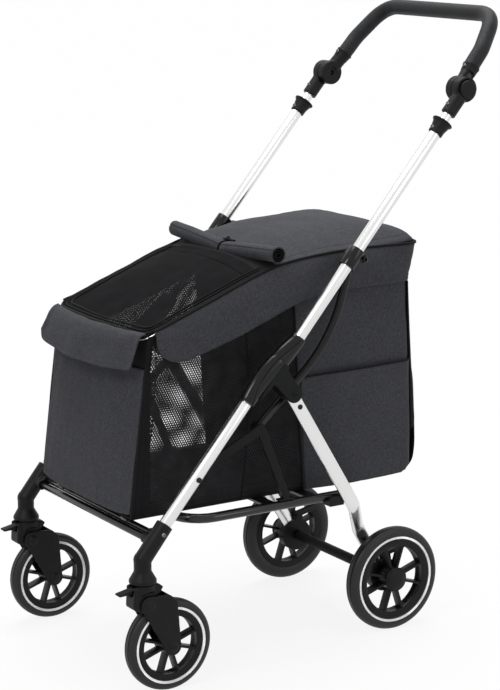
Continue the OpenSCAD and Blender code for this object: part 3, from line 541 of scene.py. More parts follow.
def clamshell(name, sections, x, body, nodes=()):
    """A long moulding around the leg; sections are (distance up the leg, front, rear, half width)."""
    clear_choice()
    up, front, rear, half = sections[0]
    bpy.ops.mesh.primitive_circle_add(vertices=56, radius=1, fill_type="NGON", location=(0, 0, 0))
    obj = bpy.context.object
    obj.name = name
    open_mesh(obj)
    bpy.ops.transform.resize(value=(half, (front + rear) / 2, 1), center_override=(0, 0, 0))
    bpy.ops.transform.translate(value=(0, (rear - front) / 2, up))
    for before, (up, front, rear, half) in zip(sections, sections[1:]):
        middle = (rear - front) / 2
        bpy.ops.mesh.extrude_region_move(
            TRANSFORM_OT_translate={"value": (0, middle - (before[2] - before[1]) / 2, up - before[0])})
        bpy.ops.transform.resize(value=(half / before[3], (front + rear) / (before[1] + before[2]), 1),
                                 center_override=(0, middle, up))
    close_mesh(outward=True)
    obj.data.materials.append(housing_plastic)
    apply(obj, "BEVEL", width=0.00015, segments=2, limit_method="ANGLE", angle_limit=math.radians(50))
    smooth(obj, 40)
    obj.rotation_euler = (-LEAN_ANGLE, 0, 0)
    obj.location = LEG_FOOT + Vector((x, 0, 0))
    return settle(obj, body, nodes)


def between_sections(table, stations):
    """Sections of a moulding at the stations, on smooth lines through the table's own."""
    columns = [[(row[0], row[k]) for row in table] for k in (1, 2, 3)]
    return [(s, *(along(column, s) for column in columns)) for s in stations]


def drawn_tube(node, low, high, above, radius, side, sign):
    """A round tube along the leg, open at both ends, with its cut edges broken."""
    clear_choice()
    middle = on_leg((low + high) / 2, above, sign * FRAME_HALF)
    bpy.ops.mesh.primitive_cylinder_add(vertices=72, radius=radius, depth=high - low, end_fill_type="NOTHING",
                                        location=middle, rotation=(-LEAN_ANGLE, 0, 0))
    obj = bpy.context.object
    obj.name = f"{node}_drawn_{side}"
    obj.data.materials.append(silver)
    apply(obj, "SOLIDIFY", thickness=0.0015, offset=-1)
    apply(obj, "BEVEL", width=0.0003, segments=2, limit_method="ANGLE", angle_limit=math.radians(60))
    smooth(obj, 50)
    return settle(obj, BODY_OF[f"{node}_{side}"], (f"{node}_{side}",))


def rear_leg(side, sign):
    """Flattened oval tube, straight down from the hinge, then cranked in to the wheel bracket."""
    pivot = joint_place("rear_leg_fold")
    path = [(sign * FRAME_HALF, pivot.y, pivot.z), (sign * FRAME_HALF, 0.060, 0.245), (sign * 0.141, 0.113, 0.181),
            (sign * 0.136, 0.164, 0.100)]
    line = rounded(path, 0.042, 14)
    leg = swept(f"rear_leg_tube_{side}", evenly(line[0], line[1], 12)[:-1] + line[1:], 0.012, silver, 40,
                squeeze=0.54, up=(1, 0, 0))
    settle(leg, "rear_legs", (f"rear_leg_{side}",))
    knuckle = turned(f"rear_leg_eye_{side}", [(-0.0062, 0), (-0.0062, 0.0112), (-0.0054, 0.012), (0.0054, 0.012),
                                              (0.0062, 0.0112), (0.0062, 0)],
                     pivot + Vector((sign * FRAME_HALF, 0, 0)), (1, 0, 0), silver, 40)
    settle(knuckle, "rear_legs")
    clear_choice()
    bpy.ops.mesh.primitive_cube_add(size=1, location=(sign * 0.1895, 0.028, 0.2571))
    saddle = bpy.context.object
    saddle.name = f"base_saddle_{side}"
    open_mesh(saddle)
    bpy.ops.transform.resize(value=(0.023, 0.028, 0.0165), center_override=tuple(saddle.location))
    bpy.ops.mesh.inset(thickness=0.001, use_individual=True)
    close_mesh()
    saddle.data.materials.append(black_plastic)
    apply(saddle, "BEVEL", width=0.003, segments=3, limit_method="ANGLE", angle_limit=math.radians(50))
    smooth(saddle, 50)
    settle(saddle, "rear_legs")


FIXED_SHELL = ((0.2372, 0.0136, 0.0136, 0.0136), (0.242, 0.0146, 0.0142, 0.0138), (0.258, 0.0160, 0.0152, 0.0137),
               (0.280, 0.0166, 0.0180, 0.0134), (0.302, 0.0146, 0.0222, 0.0132), (0.3249, 0.0097, 0.0264, 0.0131))
MOVING_SHELL = ((0.3251, 0.0097, 0.0265, 0.0131), (0.340, 0.0070, 0.0280, 0.0132), (0.355, 0.0030, 0.0286, 0.0134),
                (0.367, -0.0002, 0.0288, 0.0138), (0.3735, -0.0010, 0.0282, 0.0136))
PARTING = ((0.238, -0.0040), (0.262, 0.0042), (0.294, 0.0062), (0.325, 0.0012), (0.350, -0.0062), (0.3745, -0.0125))


def parting_line(name, table, low, high, side, sign, body):
    """The seam between the two halves of the moulding: a matte black cord along it as painted shade for the seam's
    narrow gap, with a raised lip behind it.
    """
    # the seam cord wears the black binding cloth, so the seam reads dark: painted shade in the gap between the halves
    for part, offset, size, finish in (("seam_shade_cord", 0.0, 0.0007, binding), ("lip", -0.0014, 0.0008, housing_plastic)):
        line = []
        for s, front, rear, half in between_sections(table, evenly(low, high, 24)):
            above = along(PARTING, s) + offset
            share = (-above - (rear - front) / 2) / ((front + rear) / 2)
            reach = half * math.sqrt(max(1 - share * share, 0)) - size * 0.35
            line.append(on_leg(s, above, sign * (FRAME_HALF + reach)))
        bead = swept(f"hinge_{name}_{part}_{side}", line, size, finish, 8, up=(1, 0, 0))
        settle(bead, body)


def hinge(side, sign):
    """The fold hinge: a fixed shell on the front leg, the moving cap above it, and the rear leg's pivot."""
    x = sign * FRAME_HALF
    fixed, moving = (between_sections(table, evenly(table[0][0], table[-1][0], count))
                     for table, count in ((FIXED_SHELL, 16), (MOVING_SHELL, 10)))
    clamshell(f"hinge_shell_{side}", fixed, x, "chassis")
    clamshell(f"hinge_cap_shell_{side}", moving, x, "push_frame", (f"hinge_cover_{side}",))
    parting_line("lower", FIXED_SHELL, 0.2375, 0.3248, side, sign, "chassis")
    parting_line("upper", MOVING_SHELL, 0.3252, 0.3734, side, sign, "push_frame")
    moulded_form(f"hinge_housing_{side}", arm_plastic, 0.001, 10, (on_leg(0.3, -0.009), FRONT_UP))
    barrel = turned(f"fold_pin_{side}", [(-0.0040, 0), (-0.0040, 0.0007), (-0.0037, 0.0010), (0.0037, 0.0010),
                                         (0.0040, 0.0007), (0.0040, 0)],
                    joint_place("frame_fold") + Vector((x, 0, 0)), (1, 0, 0), bolt_steel, 32)
    settle(barrel, "chassis")
    pivot = joint_place("rear_leg_fold")
    rivet(f"rear_leg_rivet_{side}", pivot + Vector((sign * 0.2158, 0, 0)), sign, 0.0046, "chassis", arm_plastic)
    rivet(f"rear_leg_bolt_{side}", pivot + Vector((sign * 0.2094, 0.0140, -0.0231)), sign, 0.0044, "rear_legs",
          bolt_steel)


for side, sign in SIDES:
    drawn_tube("front_leg", -0.022, 0.284, 0.0, 0.010, side, sign)
    drawn_tube("push_tube", 0.3262, 0.800, PUSH_STEP, 0.010, side, sign)
    drawn_tube("inner_tube", 0.635, 0.846, PUSH_STEP, 0.0082, side, sign)
    rear_leg(side, sign)
    softened(f"side_link_{side}", housing_plastic, 0.0014, 3)
    softened(f"side_strut_{side}", matt_metal, 0.0008)
    moulded_form(f"front_casting_{side}", black_plastic)
    moulded_form(f"caster_head_{side}", black_plastic, passes=30, cut=(CASTER_HEAD_TOP, (0, 0, 1)))
    moulded_form(f"caster_fork_{side}", black_plastic, passes=20, cut=(FORK_SHOULDER, LEAN))
    for k, joint in enumerate((f"suspension_{side}", f"front_wheel_spin_{side}")):
        for face in (1, -1):
            screw(f"caster_fork_{side}", f"fork_bolt_{side}_{k}_{'in' if face * sign < 0 else 'out'}",
                  joint_place(joint) + Vector((face * FORK_CHEEK, 0, 0)), (face, 0, 0), 0.0052)
    screw(f"front_casting_{side}", f"casting_bolt_{side}", on_leg(-0.010, 0, sign * (FRAME_HALF + 0.0136)),
          (sign, 0, 0), 0.0036)
    hinge(side, sign)
    moulded_form(f"brake_housing_{side}", black_plastic)
    softened(f"telescope_collar_{side}", black_plastic, 0.0008)
    softened(f"slide_collar_{side}", housing_plastic, 0.0012)
    rivet(f"collar_knob_{side}", on_leg(0.5415, -0.0318, sign * 0.2085), sign, 0.0056, "slide_collars",
          housing_plastic, 0.006)
    moulded_form(f"handle_hub_lower_{side}", black_plastic)
    moulded_form(f"handle_hub_upper_{side}", black_plastic)
    softened(f"hub_button_{side}", button_plastic, 0.0015, 3)
    softened(f"brake_pedal_{side}", button_plastic, 0.001)
    softened(f"swivel_lock_{side}", button_plastic, 0.001)
    softened(f"rear_rim_{side}", rim_plastic, 0.0007)
    softened(f"front_rim_{side}", rim_plastic, 0.0007)
softened("base_frame", black_metal, 0.0006)
softened("front_cross_tubes", black_metal, 0.0006)
softened("rear_axle_tube", matt_metal, 0.0006)
softened("frame_bolts", bolt_steel, 0.0006)


def handle():
    """One bent tube with a foam sleeve; a moulded ring closes the foam at each end."""
    pivot = joint_place("handle_tilt")
    half = [(0.1863, 0.0220), (0.1812, 0.0520), (0.1797, 0.0800), (0.1530, 0.1530)]
    grip_x, grip_up, grip_radius = 0.1823, 0.0455, 0.0134

    def above(x, up, front=0.0):
        return pivot + LEAN * up + FRONT_UP * front + Vector((x, 0, 0))

    def line_from(first):
        near = [first] + [p for p in half if p[1] > first[1] + 0.004]
        return rounded([above(x, up) for x, up in near + [(-x, up) for x, up in reversed(near)]], 0.058, 16)

    tube = swept("handle_tube_bent", line_from(half[0]), 0.009, black_metal, 24, up=FRONT_UP)
    settle(tube, BODY_OF["handle_tube"], ("handle_tube",))
    grip = swept("handle_grip_foam", line_from((grip_x, grip_up)), grip_radius, foam, 48, up=FRONT_UP)
    settle(grip, BODY_OF["handle_grip"], ("handle_grip",))
    for side, sign in SIDES:
        down = Vector((sign * 0.164, 0, 0)) - LEAN * 0.986
        ring = [(-0.0010, 0), (-0.0010, 0.0140), (0.0, 0.0149), (0.0022, 0.0149), (0.0034, 0.0140), (0.0140, 0.0130),
                (0.0140, 0)]
        end = turned(f"grip_ring_{side}", ring, above(sign * grip_x, grip_up), down, black_plastic, 48)
        settle(end, BODY_OF["handle_grip"])
        screw("handle_grip", f"upper_sleeve_screw_{side}", above(sign * 0.1834, 0.0385, grip_radius), FRONT_UP)
        screw(f"handle_hub_lower_{side}", f"lower_sleeve_screw_{side}",
              above(sign * FRAME_HALF, -0.0380, 0.0120), FRONT_UP)
        screw(f"telescope_collar_{side}", f"collar_screw_{side}",
              on_leg(0.788, PUSH_STEP + 0.0122, sign * FRAME_HALF), FRONT_UP)


handle()

# ---------------------------------------------------------------- wheels


def wheel(end, side, sign, radius, width):
    """The tyre with its white ring; a rear wheel also has a hub cap, and its ring on the outside only."""
    centre = joint_place(f"{end}_wheel_spin_{side}")
    body = BODY_OF[f"{end}_tyre_{side}"]
    half = width / 2
    inner = radius * 0.77
    section = [(-0.4, inner), (-0.47, radius * 0.795), (-0.497, radius * 0.85), (-0.49, radius * 0.905),
               (-0.44, radius * 0.95), (-0.34, radius * 0.982), (-0.22, radius * 0.994), (-0.2, radius * 0.978),
               (-0.15, radius * 0.978), (-0.13, radius * 0.998), (0, radius)]
    loop = [(a * width, r) for a, r in section]
    loop += [(-a * width, r) for a, r in reversed(section[:-1])]
    tyre = turned(f"{end}_tyre_body_{side}", loop, centre, (1, 0, 0), tyre_black, 96)
    settle(tyre, body, (f"{end}_tyre_{side}",))
    ring_r = radius * 0.812
    for n, face in enumerate((1, -1) if end == "front" else (sign,)):
        seat = centre + Vector((face * half * 0.965, 0, 0))
        line = [(face * a, ring_r + b) for a, b in ((-0.0012, -0.0021), (0.0003, -0.0018), (0.0008, 0.0),
                                                    (0.0006, 0.0018), (-0.0008, 0.0022))]
        ring = turned(f"{end}_white_ring_{side}_{n}", line, seat, (1, 0, 0), ring_white, 96)
        settle(ring, body)
    if end == "rear":
        seat = centre + Vector((sign * (half + 0.0003), 0, 0))
        dome = [(0, 0), (0, 0.0205), (0.0012, 0.0212), (0.0022, 0.0206), (0.0024, 0.0178), (0.0034, 0.0174),
                (0.0046, 0.0140), (0.0053, 0.008), (0.0055, 0)]
        cover = turned(f"hub_cap_dome_{side}", [(sign * a, r) for a, r in dome], seat, (1, 0, 0), rim_plastic, 48)
        settle(cover, body, (f"rear_hub_cap_{side}",))


for side, sign in SIDES:
    wheel("front", side, sign, 0.075, 0.024)
    wheel("rear", side, sign, 0.09, 0.025)

# ---------------------------------------------------------------- sewn pieces

CABIN_HALF = 0.1515
CABIN_FLOOR = 0.2713
TOP_EDGE = ((-0.300, 0.5590), (-0.182, 0.6030), (-0.102, 0.6340), (-0.054, 0.6480), (0.0, 0.6555), (0.070, 0.6605),
            (0.204, 0.6625))
REAR_EDGE = ((0.271, 0.2190), (0.285, 0.2245), (0.330, 0.2275), (0.400, 0.2225), (0.468, 0.2155), (0.602, 0.2060),
             (0.665, 0.2050))
SIDE_REAR_EDGE = ((0.271, 0.2140), (0.285, 0.2165), (0.330, 0.2170), (0.400, 0.2145), (0.468, 0.2110), (0.602, 0.2045),
                  (0.665, 0.2045))


def top_edge(y):
    """Height of the cabin's sides."""
    return along(TOP_EDGE, y)


def front_edge(z):
    """Place of the leaning front panel at a height."""
    return -0.332 + (z - 0.271) * 0.125


def rear_edge(z):
    """Place of the rear panel at a height."""
    return along(REAR_EDGE, z)


def net_seam(z):
    """Place of the seam between the side net and the side's rear panel."""
    return -0.005 - 0.061 * (z - 0.271)


class Cloth:
    """A sewn sheet: a grid over a surface, with hems, seams and rumples pressed into it."""

    def __init__(self, surface, across, along_count, relief=None, flip=False):
        self.nu, self.nv = across, along_count
        base = [[Vector(surface(i / across, j / along_count)) for j in range(along_count + 1)]
                for i in range(across + 1)]
        self.u = [[0.0] * (along_count + 1) for _ in range(across + 1)]
        self.v = [[0.0] * (along_count + 1) for _ in range(across + 1)]
        for i in range(across + 1):
            for j in range(along_count + 1):
                if i:
                    self.u[i][j] = self.u[i - 1][j] + (base[i][j] - base[i - 1][j]).length
                if j:
                    self.v[i][j] = self.v[i][j - 1] + (base[i][j] - base[i][j - 1]).length
        self.normal = [[None] * (along_count + 1) for _ in range(across + 1)]
        for i in range(across + 1):
            for j in range(along_count + 1):
                du = base[min(i + 1, across)][j] - base[max(i - 1, 0)][j]
                dv = base[i][min(j + 1, along_count)] - base[i][max(j - 1, 0)]
                n = du.cross(dv)
                n = n.normalized() if n.length > 1e-12 else Vector((0, 0, 1))
                self.normal[i][j] = -n if flip else n
        self.flip = flip
        self.base = base
        self.point = [[base[i][j] + self.normal[i][j] * (relief(self.u[i][j], self.v[i][j], self.u[across][j],
                                                               self.v[i][along_count], base[i][j]) if relief else 0)
                       for j in range(along_count + 1)] for i in range(across + 1)]

    def cut(self):
        """Widest and longest measure of the cut piece, and its area."""
        wide = max(self.u[self.nu])
        long = max(row[self.nv] for row in self.v)
        area = 0.0
        for i in range(self.nu):
            for j in range(self.nv):
                a, b = self.base[i][j], self.base[i + 1][j + 1]
                area += (b - a).cross(self.base[i + 1][j] - self.base[i][j + 1]).length / 2
        return (wide, long), min(area, wide * long)

    def at(self, s, t, lift=0.0):
        """Point on the finished sheet at shares s and t of its width and length."""
        a, b = min(max(s, 0), 1) * self.nu, min(max(t, 0), 1) * self.nv
        i, j = min(int(a), self.nu - 1), min(int(b), self.nv - 1)
        f, g = a - i, b - j

        def mixed(grid):
            return (grid[i][j] * (1 - f) * (1 - g) + grid[i + 1][j] * f * (1 - g)
                    + grid[i][j + 1] * (1 - f) * g + grid[i + 1][j + 1] * f * g)

        return mixed(self.point) + mixed(self.normal).normalized() * lift

    def line(self, shares, lift=0.0):
        return [self.at(s, t, lift) for s, t in shares]

    def made(self, name, finish, wall, inside=None, patch=None, held="stretched", rests_on=("base_frame",)):
        """The sheet as a closed piece; patch(s, t) picks the finishes for parts of it."""
        nu, nv = self.nu, self.nv
        points = [self.point[i][j] for i in range(nu + 1) for j in range(nv + 1)]
        uv = [(self.u[i][j], self.v[i][j]) for i in range(nu + 1) for j in range(nv + 1)]
        faces, marks = [], []
        for i in range(nu):
            for j in range(nv):
                a, b = i * (nv + 1) + j, (i + 1) * (nv + 1) + j
                quad = (a, b, b + 1, a + 1)
                faces.append(tuple(reversed(quad)) if self.flip else quad)
                marks.append(patch((i + 0.5) / nu, (j + 0.5) / nv) if patch else 0)
        finishes = finish if isinstance(finish, (list, tuple)) else [finish]
        obj = shape(name, points, faces, finishes[0], uv)
        for extra in finishes[1:]:
            obj.data.materials.append(extra)
        if inside:
            obj.data.materials.append(inside)
        for polygon, mark in zip(obj.data.polygons, marks):
            polygon.material_index = mark
        apply(obj, "SOLIDIFY", thickness=wall, offset=-1.0, use_even_offset=False,
              material_offset=len(finishes) if inside else 0)
        choose(obj)
        bpy.ops.object.shade_smooth()
        flat, area = self.cut()
        return obj


def hemmed(sides, hem=0.011, rise=0.0007, seam=0.0005, rumples=None):
    """Relief with a doubled, stitched hem along the named sides: l, r at the ends of u, b, t at the ends of v."""
    def relief(u, v, width, length, p):
        edges = []
        if "l" in sides:
            edges.append(u)
        if "r" in sides:
            edges.append(width - u)
        if "b" in sides:
            edges.append(v)
        if "t" in sides:
            edges.append(length - v)
        d = min(edges) if edges else 1.0
        lift = rise * (1 - min(max((d - hem) / 0.002, 0), 1))
        lift -= seam * math.exp(-((d - hem * 0.8) / 0.0011) ** 2)
        return lift + (rumples(p, d) if rumples else 0.0)
    return relief


def stitched(name, sheet, line):
    """A row of lockstitches; line is a list of (s, t) shares on a sheet."""
    pitch, length, size = 0.0042, 0.0028, 0.00035
    track = sheet.line(line, 0.0002)
    points, faces = [], []
    spare = 0.0
    for a, b in zip(track, track[1:]):
        run = b - a
        span = run.length
        if span < 1e-7:
            continue
        run.normalize()
        side = run.cross(Vector((0.31, 0.22, 0.92))).normalized() * size
        over = run.cross(side).normalized() * size
        at = spare
        while at + length < span:
            p, q = a + run * at, a + run * (at + length)
            start = len(points)
            for place, grow in ((p, 0.3), (p + run * size * 1.5, 1), (q - run * size * 1.5, 1), (q, 0.3)):
                points += [place + side * grow, place + over * grow, place - side * grow, place - over * grow]
            faces.append((start, start + 1, start + 2, start + 3))
            for ring in range(3):
                r = start + ring * 4
                faces += [(r + k, r + 4 + k, r + 4 + (k + 1) % 4, r + (k + 1) % 4) for k in range(4)]
            faces.append((start + 15, start + 14, start + 13, start + 12))
            at += pitch
        spare = max(0.0, at - span)
    sewn(tidy_normals(shape(name, points, faces, thread)))


def straight(fixed, value, low=0.02, high=0.98, steps=60):
    """Shares along one line of a sheet: fixed is s or t, held at value."""
    return [(value, r) if fixed == "s" else (r, value) for r in evenly(low, high, steps)]


CLOTH_WALL, LINING_WALL, NET_WALL = 0.0022, 0.002, 0.0009
soft_pieces = []


def sewn(obj, nodes=(), body="chassis"):
    settle(obj, body, nodes)
    soft_pieces.append(obj)


def cord(name, line, radius, slot="charcoal_fabric", body="chassis", finish=None, sides=8, **ways):
    """A piping, binding, zip or tape sewn along a line."""
    sewn(swept(name, line, radius, finish or binding, sides, **ways), body=body)


# ---- cabin: front, sides, rear and floor


def front_panel():
    """Bulging cloth panel with the plain band above it."""
    low, high = 0.2725, 0.509
    half = 0.1485

    def surface(s, t):
        x = half * (2 * s - 1)
        z = low + (high - low) * t
        bulge = 0.011 * (1 - (2 * s - 1) ** 4) * (0.35 + 0.65 * math.sin(math.pi * min(t * 1.05, 1)))
        lifted = 0.006 * abs(2 * s - 1) ** 5 * (1 - t)
        return x, front_edge(z) - 0.002 - bulge, z + lifted

    def rumples(p, d):
        return rumple(p, 0.06, 0.0012, 3.1) + rumple(Vector((p.x * 2.2, p.y, p.z * 0.5)), 0.03, 0.0006, 1.7)

    sheet = Cloth(surface, 90, 70, hemmed("lrbt", 0.012, rumples=rumples))
    panel = sheet.made("front_panel", heather, CLOTH_WALL, lining)
    sewn(panel, nodes=("cabin_body",))
    for k, line in enumerate((straight("s", 0.035), straight("s", 0.965), straight("t", 0.045), straight("t", 0.955))):
        stitched(f"front_panel_stitching_{k}", sheet, line)

    def band_surface(s, t):
        z = 0.5 + 0.058 * t
        return half * (2 * s - 1), front_edge(z) - 0.001 - 0.004 * (1 - (2 * s - 1) ** 4), z

    sewn(Cloth(band_surface, 40, 10).made("front_top_band", lining, 0.0014))


def gusset_width(z):
    """Width of the folded black gusset between the front panel and the net."""
    return 0.008 + 0.026 * min(max((0.51 - z) / 0.24, 0), 1)


def side_net_panel(side, sign):
    """Net window with the folded gusset in front of it, its seam and the corner binding."""
    def surface(s, t):
        z_top = top_edge(-0.296 + 0.272 * s) + 0.001
        z = CABIN_FLOOR + (z_top - CABIN_FLOOR) * t
        y = front_edge(z) + (net_seam(z) - front_edge(z)) * s
        hollow = -0.003 * math.sin(math.pi * s) * math.sin(math.pi * t)
        return sign * (CABIN_HALF + hollow), y, z

    def relief(u, v, width, length, p):
        fold = gusset_width(p.z)
        pleat = 0.0022 * abs(math.sin(math.pi * 2.0 * u / fold)) if u < fold else 0.0
        return pleat + rumple(p, 0.05, 0.0007, 5.3 * sign)

    sheet = Cloth(surface, 150, 60, relief, flip=sign < 0)

    def patch(s, t):
        z = CABIN_FLOOR + 0.31 * t
        return 1 if s * (net_seam(z) - front_edge(z)) < gusset_width(z) or s > 0.985 or t < 0.02 else 0

    panel = sheet.made(f"side_net_{side}", [side_net, lining], NET_WALL, None, patch)
    sewn(panel)
    seam = [sheet.at(0.62 + 0.05 * math.sin(math.pi * t), t, 0.0006) for t in evenly(0, 1, 30)]
    cord(f"side_net_seam_{side}", seam, 0.0013, "mesh_fabric")
    cord(f"front_corner_binding_{side}", sheet.line(straight("s", 0.0, 0, 1, 30)), 0.0028, sides=10)


def side_rear_panel(side, sign):
    """Cloth panel with its pocket, the rear corner gusset and the binding along the net."""
    def surface(s, t):
        z = CABIN_FLOOR + (TOP_EDGE[-1][1] - CABIN_FLOOR) * t
        y0 = net_seam(z) - 0.003
        y1 = along(SIDE_REAR_EDGE, z) - 0.012 * (1 - math.sqrt(1 - max(0, 1 - t / 0.04) ** 2))
        y = y0 + (y1 - y0) * s
        z = CABIN_FLOOR + (top_edge(y) - CABIN_FLOOR) * t
        swell = 0.007 * math.sin(math.pi * s) ** 0.8 * math.sin(math.pi * min(t * 1.1, 1)) ** 0.8
        corner = -0.010 * max(0, (s - 0.93) / 0.07) ** 2
        sag = -0.003 * math.sin(math.pi * s) * (1 - t) ** 6
        return sign * (CABIN_HALF + swell + corner), y, z + sag

    def rumples(p, d):
        tall = Vector((p.x, p.y * 1.6, p.z * 0.45))
        return rumple(p, 0.07, 0.0013, 2.2 * sign) + rumple(tall, 0.035, 0.0008, 4.4)

    sheet = Cloth(surface, 70, 100, hemmed("lrb", 0.006, 0.0005, rumples=rumples), flip=sign < 0)
    sewn(sheet.made(f"side_rear_panel_{side}", heather, CLOTH_WALL, lining))

    def pocket_surface(s, t):
        p = sheet.at(0.02 + 0.965 * s, 0.5 * t)
        p.x += sign * (0.0022 + 0.0035 * math.sin(math.pi * s) * t ** 3 + 0.001 * t)
        return p

    pocket = Cloth(pocket_surface, 60, 50, hemmed("t", 0.014, 0.0008), flip=sign < 0)
    sewn(pocket.made(f"side_pocket_{side}", heather, 0.0018, lining))
    stitched(f"side_pocket_stitching_{side}", pocket, straight("t", 0.925))
    cord(f"side_pocket_binding_{side}", pocket.line(straight("t", 1.0, 0, 1, 40)), 0.0013)

    def gusset_surface(s, t):
        z = 0.342 + 0.258 * t
        round_end = math.sqrt(max(1 - max(0, 1 - t / 0.07) ** 2, 0.0))
        side_y = along(SIDE_REAR_EDGE, z) - 0.003
        swell = (rear_edge(z) + 0.0015 - side_y) * round_end
        a = math.pi / 2 * s
        return sign * (0.1395 + 0.0115 * math.cos(a)), side_y + swell * math.sin(a), z

    gusset = Cloth(gusset_surface, 10, 60, flip=sign < 0)
    sewn(gusset.made(f"rear_gusset_{side}", lining, 0.0016))
    cord(f"net_binding_{side}", sheet.line(straight("s", 0.0, 0, 1, 50), 0.0008), 0.0018)


def rear_panel():
    """Lining panel with two zips."""
    def surface(s, t):
        z = CABIN_FLOOR + (0.664 - CABIN_FLOOR) * t
        x = (0.141 + 0.002 * math.sin(math.pi * t)) * (2 * s - 1)
        swell = 0.006 * (1 - (2 * s - 1) ** 4) * math.sin(math.pi * min(1.15 * t + 0.05, 1))
        rounding = 0.012 * max(0, 1 - t / 0.06) ** 2
        return -x, rear_edge(z) + 0.001 + swell - rounding, z

    def rumples(p, d):
        return rumple(p, 0.06, 0.0014, 9.2)

    sheet = Cloth(surface, 60, 80, hemmed("lrb", 0.008, rumples=rumples))
    sewn(sheet.made("rear_panel", lining, LINING_WALL))
    for k, (zip_s, seam_s) in enumerate(((0.14, 0.175), (0.86, 0.825))):
        cord(f"rear_zip_{k}", sheet.line(straight("s", zip_s, 0.05, 0.9), 0.0006), 0.0016)
        stitched(f"rear_zip_stitching_{k}", sheet, straight("s", seam_s, 0.05, 0.9))


def cabin_floor():
    def surface(s, t):
        y0, y1 = front_edge(CABIN_FLOOR), 0.2105
        y = y0 + (y1 - y0) * t
        x = (CABIN_HALF - 0.001 - 0.008 * max(0, (t - 0.95) / 0.05) ** 2) * (2 * s - 1)
        return x, y, CABIN_FLOOR - 0.0002 + 0.0012 * (1 - math.sin(math.pi * s))

    sheet = Cloth(surface, 30, 60)
    sewn(sheet.made("cabin_floor", lining, LINING_WALL))
    edge = straight("s", 0, 0, 1, 20) + straight("t", 1, 0, 1, 10)[1:]
    edge += [(1 - s, 1 - t) for s, t in edge[1:-1]]
    rim = []
    for s, t in edge:
        inset = 0.024 if t in (0, 1) else 0.004
        rim.append(sheet.at(min(max(s, inset), 1 - inset), min(max(t, 0.006), 0.985), 0.0004))
    cord("floor_binding", rim, 0.0022, closed=True)


def padded_mat():
    """The padded floor mat, filled out and quilted across in three lines."""
    low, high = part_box("floor_mat")
    clear_choice()
    bpy.ops.mesh.primitive_cube_add(size=1)
    pad = bpy.context.object
    pad.name = "floor_pad"
    pad.scale = (high[0] - low[0] - 0.008, high[1] - low[1] - 0.01, (high[2] - low[2]) * 0.62)
    pad.location = (Vector(low) + Vector(high)) / 2
    bpy.ops.object.transform_apply(location=True, rotation=True, scale=True)
    apply(pad, "REMESH", mode="VOXEL", voxel_size=0.006)
    rest = [v.co.copy() for v in pad.data.vertices]
    cloth = pad.modifiers.new("Cloth", "CLOTH")
    cloth.settings.use_pressure = True
    cloth.settings.uniform_pressure_force = 4
    cloth.settings.effector_weights.gravity = 0
    for step in range(1, 16):
        bpy.context.scene.frame_set(step)
    choose(pad)
    bpy.ops.object.modifier_apply(modifier="Cloth")
    bpy.context.scene.frame_set(1)
    most = 0.005
    for v, start in zip(pad.data.vertices, rest):
        move = v.co - start
        if move.length > most:
            v.co = start + move.normalized() * most
    for v in pad.data.vertices:
        for line in (-0.18, -0.04, 0.10):
            v.co.z -= 0.0035 * math.exp(-((v.co.y - line) / 0.006) ** 2) * (1 if v.co.z > low[2] + 0.006 else 0)
        v.co.z = min(max(v.co.z, low[2] + 0.0002), high[2] + 0.002)
    apply(pad, "SUBSURF", levels=1, render_levels=1)
    pad.data.materials.clear()
    pad.data.materials.append(lining)
    choose(pad)
    bpy.ops.object.shade_smooth()
    sewn(pad, ("floor_mat",))


# ---- top: canopy, lid, skirts and the rolled cover


def canopy_piece():
    """Arched rear canopy with its bound edge."""
    crest = ((-0.090, 0.655), (-0.072, 0.660), (-0.05, 0.6705), (-0.02, 0.6815), (0.02, 0.691), (0.06, 0.697),
             (0.11, 0.701), (0.16, 0.698), (0.2145, 0.6855))
    power = ((-0.090, 2.0), (-0.05, 2.8), (0.0, 3.3), (0.05, 2.8), (0.1, 2.6), (0.16, 4.0), (0.208, 8.0))
    lift = ((-0.090, 0.0045), (0.15, 0.0045), (0.19, 0.0065), (0.21, 0.0085))
    corner = 0.016

    def surface(s, t):
        y = -0.090 + 0.3045 * t
        edge = top_edge(y) + along(lift, y)
        a = abs(2 * s - 1)
        over = max(0.0, y - 0.2145 + corner)
        reach = 0.153 + 0.004 * min(max((y - 0.10) / 0.1, 0), 1)
        half = reach - corner + math.sqrt(max(corner * corner - over * over, 0.0))
        z = edge + (along(crest, y) - edge) * (1 - a ** along(power, y))
        tuck = 0.006 * max(0, (t - 0.96) / 0.04) ** 2 * (1 - a ** 6)
        return half * (2 * s - 1), y, z - tuck

    def rumples(p, d):
        cross = Vector((p.x * 0.5, p.y * 2.0, p.z))
        return rumple(p, 0.07, 0.0015, 6.1) + rumple(cross, 0.04, 0.0009, 8.8)

    sheet = Cloth(surface, 90, 80, hemmed("lrt", 0.009, 0.0008, rumples=rumples))
    sewn(sheet.made("canopy_sheet", [heather, binding], 0.003, lining, lambda s, t: 1 if t < 0.095 else 0,
                    rests_on=("cabin_body",)), nodes=("canopy",))
    for k, line in enumerate((straight("s", 0.045, 0.08, 0.96), straight("s", 0.955, 0.08, 0.96),
                              straight("t", 0.955, 0.05, 0.95))):
        stitched(f"canopy_stitching_{k}", sheet, line)
    side_edge = straight("s", 0, 0, 1, 60)[:59]
    edge = side_edge + straight("t", 1, 0, 1, 60)[1:60] + [(1 - s, t) for s, t in reversed(side_edge)]
    cord("canopy_binding", [p - Vector((0, 0, 0.0004)) for p in sheet.line(edge, -0.001)], 0.0019, sides=10)


LID_SPLIT = -0.1125


